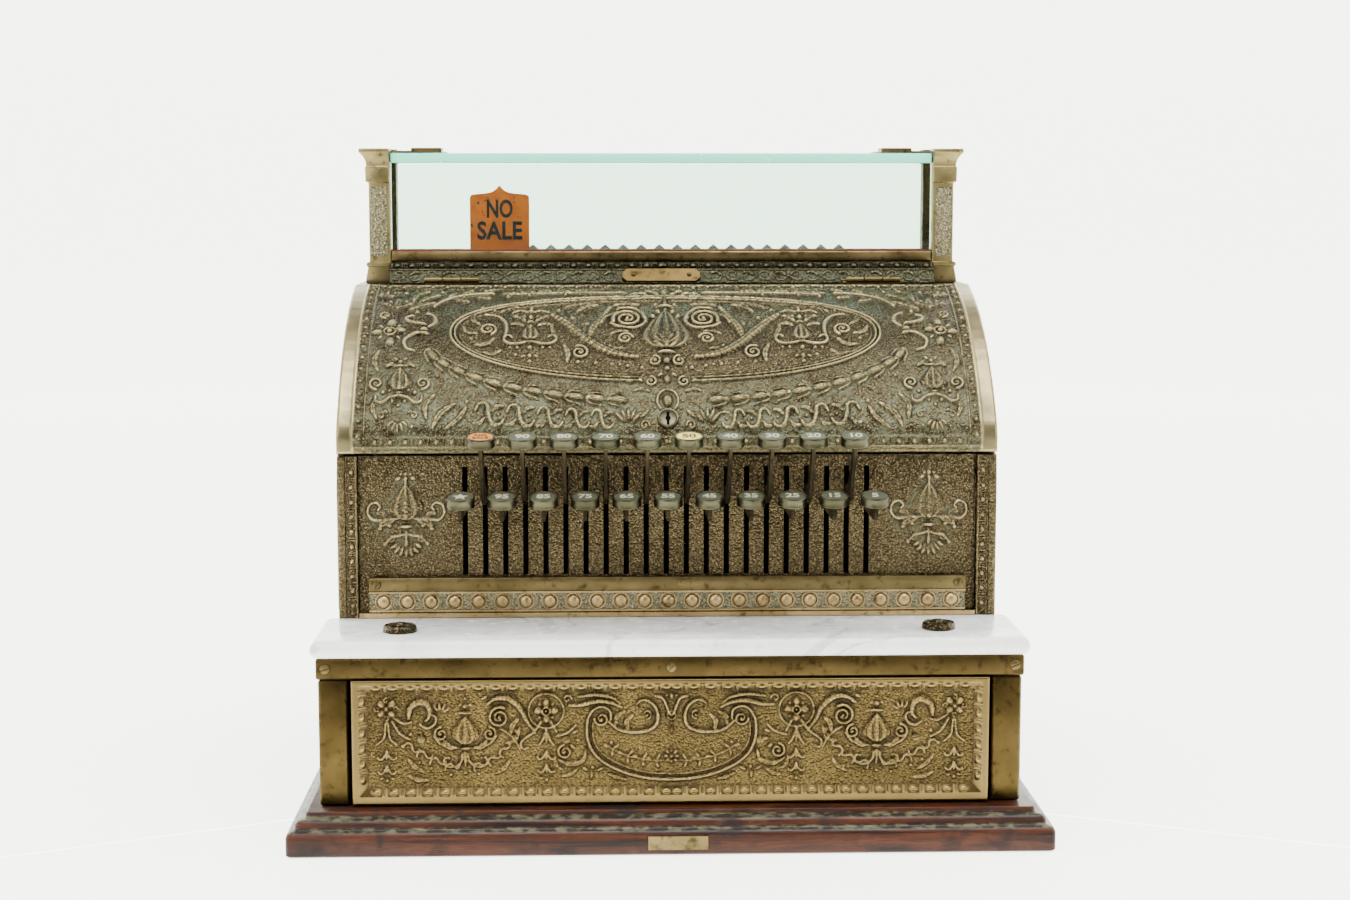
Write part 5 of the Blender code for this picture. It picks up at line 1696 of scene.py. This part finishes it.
def key_panel_ornament():
    """The field on each side of the slots: one urn with its shell."""
    node_low, node_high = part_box("key_panel")
    surface = swept_surface(lip_profile(node_low.y, node_low.z))
    outer = node_high.x / MM
    inner = (abs(key_x(1)) + 0.0060) / MM
    base = node_low.z / MM
    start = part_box("stud_rail")[1].z / MM - base + 0.4
    relief = Relief(-outer, -inner, start, surface.length - 0.4, 0.55)
    pen = Pen(relief, 0, -base)
    urn(pen.at((-outer - inner) / 2 - 0.6, 186))
    relief.soften()
    side = np.minimum(relief.U + outer, -inner - relief.U)
    relief.grain(0.045)
    relief.h += 0.25 * np.clip(side, 0, 1) - 0.15

    def damp(U, V):
        """Close to raised ornament, fading over the ground round it."""
        return 0.8 * np.clip(2.2 * box_blur(np.clip(relief.h, 0, 1), 8), 0, 1)
    halves("panel_casting", relief, surface, "register", "body brass", damp)


CURL_START, LIP_FOOT, LIP_TOP = 0.2137, 0.2236, 0.2306     # heights on the front under the lid


def lip_profile(front, low):
    """(y, z) up the front to just under the lid's edge."""
    return [(front, low), (front, CURL_START), (front + 0.0010, LIP_FOOT), (front + 0.0018, LIP_TOP)]


def front_lip():
    """Closes the front up to the lid: bars between the slots, and a plain strip above them."""
    panel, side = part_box("key_panel"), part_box("side_panel_right")
    foot, bend, top = lip_profile(panel[0].y, CURL_START)[1:]
    inside = panel[0].y + 0.0040
    made = Shape()
    edges = [-panel[1].x]
    for i in KEYS:
        edges += [key_x(i) - 0.0017, key_x(i) + 0.0017]
    edges.append(panel[1].x)
    bar = [foot, bend, (inside, LIP_FOOT), (inside, CURL_START)]
    for a, b in zip(edges[::2], edges[1::2]):
        made.loft([[(x, y, z) for y, z in bar] for x in (a, b)])
    strip = [bend, top, (inside + 0.0060, LIP_TOP), (inside + 0.0060, LIP_FOOT)]
    made.loft([[(x, y, z) for y, z in strip] for x in (-panel[1].x, panel[1].x)])
    foot, bend, top = lip_profile(side[0].y, CURL_START)[1:]
    cheek = [foot, bend, top, (side[0].y + 0.0080, LIP_TOP), (side[0].y + 0.0080, CURL_START)]
    for sign in (-1, 1):
        made.loft([[(sign * x, y, z) for y, z in cheek] for x in (side[0].x, side[1].x)])
    made.piece("front_lip", "register", "body brass", "aged_brass", angle=40)


def cheek_ornament():
    """Front edges of the side castings, with a string of beads inside a plain band."""
    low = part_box("side_panel_right")[0]
    outer, inner = BODY_HALF / MM, low.x / MM
    surface = swept_surface(lip_profile(low.y, low.z))
    start = (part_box("marble_shelf")[1].z - low.z) / MM + 0.3
    relief = Relief(-outer, -inner, start, surface.length - 0.3, 0.55)
    pen = Pen(relief)
    bead_run(pen, (-199.4, start + 3), (-199.4, surface.length - 5), 9.7, ringed_bead(1.9, (3.9, 5.4)))
    for x in (-202.6, -196.4):
        pen.line([(x, start), (x, surface.length)], 0.5, 0.8)
    edge = relief.U + outer
    relief.calm = 0.3 * (edge < 5.0)
    relief.h += GROUND - 0.1 + 0.5 * (edge < 5.0) - 0.6 * np.clip(1 - edge / 1.5, 0, 1) ** 2
    halves("cheek_casting", relief, surface, "register", "body brass")


# ---------------------------------------------------------------- deck and number plate

DECK_FOOT_Y, DECK_FACE_Y, DECK_EDGE_Z = 0.0268, 0.0350, 0.3424


def deck_ornament():
    """The sloping band under the window: leaves on the slope, eggs on the upright."""
    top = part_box("deck")[1].z
    profile = [(DECK_FOOT_Y, PLATE_TOP), (DECK_FACE_Y, DECK_EDGE_Z), (DECK_FACE_Y, top)]
    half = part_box("window_rail_front")[1].x / MM - 0.3
    surface = swept_surface(profile)
    slope = math.dist(profile[0], profile[1]) / MM
    relief = Relief(-half, 0, 0.2, surface.length - 0.1, 0.55)
    pen = Pen(relief)
    middle = slope * 0.52

    def sprays(p):
        """A leaf that curls each way from a berry."""
        p.ball(0, 0, 1.2, 1.0)
        p.leaf([(1.6, 0.4), (5.0, 3.2), (9.6, 2.6)], 1.7, 1.0, 3, False)
        p.leaf([(-1.6, -0.4), (-5.0, -3.2), (-9.6, -2.6)], 1.7, 1.0, 3, False)
        p.line([(1.4, -1.2), (4.4, -3.8), (7.6, -3.2), (8.0, -1.2)], (0.6, 0.9, 0.8, 0.6), 0.9)
        p.line([(-1.4, 1.2), (-4.4, 3.8), (-7.6, 3.2), (-8.0, 1.2)], (0.6, 0.9, 0.8, 0.6), 0.9)
        p.ball(10.4, -1.8, 0.8, 0.8)
        p.ball(-2.6, -4.2, 0.8, 0.8)
    bead_run(pen, (-half + 1, middle), (-31, middle), 20.6, sprays)

    def egg(p):
        p.dome(0, 0, 2.3, 1.5, 1.0)
        for x in (-3.5, 3.5, 5.0):
            p.line([(x, -1.6), (x, 1.6)], 0.5, 0.8)
    bead_run(pen, (-half, slope + 2.5), (4, slope + 2.5), 10.0, egg)
    pen.line([(-half, slope - 0.4), (3, slope - 0.4)], 0.6, 1.0)
    pen.line([(-half, 1.2), (3, 1.2)], 0.6, 0.8)
    relief.soften()
    relief.grain(0.04)
    relief.h += GROUND

    def damp(U, V):
        return 0.9 * (V < slope)
    halves("deck_band", relief, surface, "register", "deck bronze", damp)


def number_plate():
    """A blank plate with cut corners and two rivets."""
    low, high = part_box("number_plate")
    half, depth, thick = 0.02665, 0.0052, 0.0012
    slope = math.atan2(DECK_EDGE_Z - PLATE_TOP, DECK_FACE_Y - DECK_FOOT_Y)
    centre = (low + high) / 2
    spot = Matrix.Translation(centre) @ Matrix.Rotation(slope, 4, "X")
    cut = 0.0030
    outline = [(half, -depth + cut), (half, depth - cut), (half - cut, depth), (-half + cut, depth),
               (-half, depth - cut), (-half, -depth + cut), (-half + cut, -depth), (half - cut, -depth)]
    levels = ((1, -thick / 2), (1, thick / 2 + 0.0008), (0.985, thick / 2 + 0.0011))
    made = Shape().loft([[(x * s, y * s, z) for x, y in outline] for s, z in levels], spot)
    rivet = [(0, 0.0013)] + [(0.0017 * math.sin(t), 0.0013 * math.cos(t)) for t in (0.4, 0.8, 1.2, 1.57)]
    for sign in (-1, 1):
        made.turned(rivet + [(0.0017, -0.0004), (0, -0.0004)],
                    spot @ Matrix.Translation((sign * 0.0190, 0, thick / 2 + 0.0010)), 20)
    made.piece("blank_number_plate", "register", "rail brass", "aged_brass", ("number_plate",))


# ---------------------------------------------------------------- sides and back

def side_ornament():
    """A frame that follows the side's outline round a scrolled oval, on each side of the body."""
    low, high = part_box("side_panel_right")
    edge = section("side_panel_right", (low.y, low.z), (high.y, low.z))
    ys, zs = np.array(edge).T / MM
    order = np.argsort(ys)
    y0, y1, base = low.y / MM + 3.5, high.y / MM - 3.5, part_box("marble_shelf")[1].z / MM + 4
    margin = 6.0

    def roof(u):
        """The outline's height over u, less a margin."""
        near = [np.interp(u + shift, ys[order], zs[order]) for shift in (-margin, 0, margin)]
        return np.minimum.reduce(near) - margin
    relief = Relief(y0, y1, 0, 1, 1.15).under(roof, base, 160)
    pen = Pen(relief)
    centre = pen.at(36, 212)
    centre.ring(0, 0, 62, 46, 1.5, 1.8)
    centre.ring(0, 0, 57, 41, 0.8, 1.2)
    urn(centre.at(0, -8, 1.35), False)
    for turn in range(0, 360, 20):
        x, y = polar(turn, 69, 53)
        along = math.degrees(math.atan2(x * 53 / 69, -y * 69 / 53))
        husk(centre.at(x, y, 1.2, turn=along), 13)
    for x, y, size, flip in ((-52, 154, 1.7, 1), (124, 154, 1.7, -1), (-48, 232, 1.4, 1), (132, 250, 1.6, -1),
                             (40, 292, 1.5, 1), (92, 286, 1.5, -1)):
        leafy_corner(pen.at(x, y, size, flip))
    gap = np.minimum.reduce([relief.U - y0, y1 - relief.U, relief.V - base, roof(relief.U) - relief.V])
    border = np.clip(1 - np.abs(gap - 9) / 1.6, 0, 1) ** 0.5
    relief.h = np.where(gap < 12, 0, relief.h)
    relief.h = np.maximum(relief.h, 1.4 * border)
    relief.calm = (gap < 11).astype(float)
    relief.grain(0.06)
    relief.h += GROUND + 0.8 * (gap < 5.5)
    relief.h -= 0.9 * np.clip(1 - gap / 1.4, 0, 1) ** 2
    both_sides("side_casting", relief, BODY_HALF)


def leafy_corner(pen):
    """A scroll with three leaves, about 40 mm long."""
    pen.line([(-12, -10), (-6, -2), (4, 2), (12, -2), (13, -9), (7, -11)],
             (1.0, 2.0, 2.2, 1.8, 1.4, 1.0), 1.8)
    pen.ball(8, -6.4, 2.0, 1.9)
    pen.leaf([(-6, 0), (-8, 9), (-2, 16)], 3.2, 1.7, 5)
    pen.leaf([(0, 3), (6, 9), (15, 10)], 2.8, 1.6, 5)
    pen.leaf([(-10, -6), (-17, -4), (-20, 4)], 2.6, 1.5, 4)
    pen.ball(3, 12, 1.4, 1.4)
    pen.ball(-14, 2, 1.3, 1.3)


def cabinet_side():
    """The cast plate on each side of the cabinet."""
    low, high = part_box("drawer_case")
    y0, y1, z0, z1 = low.y / MM + 2, high.y / MM - 3, low.z / MM + 2, high.z / MM - 2
    relief = Relief(y0, y1, z0, z1, 1.0)
    pen = Pen(relief)
    bead_run(pen, (y0 + 10, z1 - 8), (y1 - 10, z1 - 8), 12, barrel_and_reels(1.1))
    bead_run(pen, (y0 + 10, z0 + 8), (y1 - 10, z0 + 8), 12, barrel_and_reels(1.1))
    middle = (z0 + z1) / 2
    for i in range(5):
        x = y0 + (y1 - y0) * (i + 0.5) / 5
        flower = pen.at(x, middle)
        flower.ring(0, 0, 15, 15, 1.1, 1.5)
        rosette(flower.at(0, 0, 1.35))
        for sign in (1, -1):
            leafy_corner(pen.at(x + 31, middle - 4 * sign, 0.75, sign))
    gap = np.minimum.reduce([relief.U - y0, y1 - relief.U, relief.V - z0, z1 - relief.V])
    plain_border(relief, gap, 5, 1.3, 0.8, 1.2)
    both_sides("cabinet_casting", relief, high.x)


def back_ornament():
    """Back of the body: a plain framed casting with an oval and two urns."""
    low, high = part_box("back_panel")
    surface = swept_surface(section("back_panel", (high.y, low.z), (high.y - 0.030, high.z)), -1)
    half, foot, top = high.x / MM - 1, 4, 178
    relief = Relief(-half, 0, foot, top, 1.2)
    pen = Pen(relief)
    centre = pen.at(0, 88)
    centre.ring(0, 0, 78, 50, 1.6, 1.8, 90, 270)
    centre.ring(0, 0, 72, 45, 0.8, 1.2, 90, 270)
    urn(centre.at(0, -10, 1.5), False)
    urn(pen.at(-134, 74, 1.3))
    leafy_corner(pen.at(-52, 80, 1.3))
    for y in (30, 146):
        leafy_corner(pen.at(-96, y, 1.5, -1))
        leafy_corner(pen.at(-164, y, 1.2))
    gap = np.minimum.reduce([relief.U + half, relief.V - foot, top - relief.V])
    plain_border(relief, gap, 8, 1.2, 1.2, 1.4)
    halves("back_casting", relief, surface, "register", "body brass")


# ================================================================ the register

def plain_parts():
    """The CAD solids that only need rounder edges and a finish."""
    for side in SIDES:
        refined("corner_post_" + side, "register", "corner brass", 0.0012)
        refined("glass_clip_" + side, "register", "plain brass", 0.0005)
        painted("side_panel_" + side, "body brass")
    for word in ("front", "rear"):
        refined("window_rail_" + word, "register", "plain brass", 0.0005)
        painted("glass_" + word, "pane")
    refined("trim_rail", "register", "rail brass", 0.0008)
    refined("stud_rail", "register", "plain brass", 0.0006)
    refined("base_plate", "register", "plain brass", 0.0002)
    refined("key_stop_bar", "register", "black iron", 0.0006)
    refined("drawer_tray", "drawer", "drawer wood", 0.0008)
    refined("bell", "register", "worn nickel", 0.0002)
    painted("key_panel", "body brass")
    painted("body_floor", "plain brass")
    painted("back_panel", "body brass")
    painted("deck", "deck bronze")
    painted("lid", "lid bronze")
    painted("drawer_case", "black iron")
    painted("drawer_front", "front brass")
    painted("key_shaft", "black iron")


def all_screws():
    rail_low, rail_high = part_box("trim_rail")
    bar_low, bar_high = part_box("stud_rail")
    rail_z, bar_z = (rail_low.z + rail_high.z) / 2, bar_high.z - 0.0043
    screws("rail_screws", "register", [(x, rail_low.y, rail_z) for x in (-0.2090, 0.0, 0.2090)], 0.0030)
    screws("bar_screws", "register", [(x, bar_low.y, bar_z) for x in (-0.1840, 0.1840)], 0.0028)
    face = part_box("drawer_front")[0].y - 0.0009
    drawer = ((-0.1515, 0.067), (0.1490, 0.066), (-0.0640, 0.066), (0.0540, 0.065))
    screws("drawer_screws", "drawer", [(x, face, z) for x, z in drawer], 0.0026)


def felt_line():
    """Red felt between the front window rail and the pane."""
    low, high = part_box("window_rail_front")
    middle = (low.y + high.y) / 2
    half = 0.0032
    strip = Shape().block((low.x, middle - half, high.z - 0.0004), (high.x, middle + half, high.z + 0.0009))
    strip.piece("felt_strip", "register", "felt", "aged_brass")


def register():
    """Everything, in the order that the random numbers are drawn in."""
    plain_parts()
    wood_base()
    marble_shelf()
    for side in SIDES:
        marble_button(side)
    studs()
    for side in SIDES:
        post("post_front_" + side)
        post("post_rear_" + side)
        hinge(side)
    glass_top()
    lid_lock()
    no_sale_tablet()
    lowered_tablets()
    felt_line()
    number_plate()
    all_screws()
    for i in KEYS:
        key(i)
    drawer_ornament()
    lid_ornament()
    key_panel_ornament()
    cheek_ornament()
    front_lip()
    deck_ornament()
    side_ornament()
    cabinet_side()
    back_ornament()


# ================================================================ studio

def studio():
    """Pale floor that sweeps up into the backdrop."""
    tree = Tree("paper sweep", Roughness=0.9, Emission_Color=(0.985, 1.0, 0.93, 1))
    depth = tree.add("ShaderNodeSeparateXYZ", {0: tree.coords}).outputs["Y"]
    tree.set(Emission_Strength=tree.spread(depth, -0.75, -0.28, 0.0, 3.2))
    tree.set(Base_Color=tree.mix(tree.noise(2, 2), (0.88, 0.885, 0.86, 1), (0.86, 0.865, 0.845, 1)))
    radius, reach, tall, spokes, level = 1.2, 2.8, 4.5, 48, -0.0002
    outline = [(0.0, level), (reach, level)]
    outline += [(reach + radius * math.sin(t), radius * (1 - math.cos(t)) + level)
                for t in (math.pi / 2 * k / 16 for k in range(1, 17))]
    outline.append((reach + radius, tall))
    verts, faces = [], []
    for k in range(spokes + 1):
        turn = math.radians(-25 + 230 * k / spokes)
        verts += [(r * math.cos(turn), r * math.sin(turn), z) for r, z in outline]
    for k in range(spokes):
        for i in range(len(outline) - 1):
            a = k * len(outline) + i
            faces.append((a, a + 1, a + 1 + len(outline), a + len(outline)))
    near = len(verts)
    wide = 14                        # m of floor that the camera stands over
    verts += [(x, y, -0.0004) for x, y in ((-wide, -wide), (wide, -wide), (wide, 1), (-wide, 1))]
    faces.append(tuple(range(near, near + 4)))
    mesh = bpy.data.meshes.new("sweep")
    mesh.from_pydata(verts, [], faces)
    mesh.materials.append(tree.material)
    mesh.shade_smooth()
    sweep = bpy.data.objects.new("sweep", mesh)
    bpy.context.scene.collection.objects.link(sweep)


def soft_light(name, place, aim, size, power):
    data = bpy.data.lights.new(name, "AREA")
    data.shape = "RECTANGLE"
    data.size, data.size_y = size
    data.energy = power
    lamp = bpy.data.objects.new(name, data)
    lamp.location = place
    lamp.rotation_euler = (Vector(aim) - Vector(place)).to_track_quat("-Z", "Y").to_euler()
    bpy.context.scene.collection.objects.link(lamp)


def lights():
    world = bpy.data.worlds.new("studio")
    world.use_nodes = True
    nodes, links = world.node_tree.nodes, world.node_tree.links
    direction = nodes.new("ShaderNodeTexCoord").outputs["Generated"]
    parts = nodes.new("ShaderNodeSeparateXYZ")
    links.new(direction, parts.inputs[0])
    height = nodes.new("ShaderNodeMapRange")
    links.new(parts.outputs["Z"], height.inputs["Value"])
    for word, value in (("From Min", -0.1), ("From Max", 0.9), ("To Min", 0.12), ("To Max", 0.6)):
        height.inputs[word].default_value = value
    links.new(height.outputs[0], nodes["Background"].inputs["Strength"])
    nodes["Background"].inputs["Color"].default_value = (0.98, 0.99, 1.0, 1)
    bpy.context.scene.world = world
    middle = (0, 0, 0.2)
    soft_light("overhead", (0.1, -0.5, 1.9), middle, (1.6, 1.2), 62)
    soft_light("front left", (-1.3, -1.5, 1.1), middle, (0.8, 1.1), 22)
    soft_light("front right", (1.4, -1.3, 0.9), middle, (0.7, 1.0), 12)


def camera():
    data = bpy.data.cameras.new("camera")
    data.lens = 60.0
    data.sensor_width = 36.0
    data.sensor_fit = "HORIZONTAL"
    made = bpy.data.objects.new("camera", data)
    made.location = (-0.0385, -1.5104, 0.4018)
    made.rotation_euler = (math.radians(90 - 6.79), 0, math.radians(-1.741))
    bpy.context.scene.collection.objects.link(made)
    bpy.context.scene.camera = made


register()
studio()
lights()
camera()
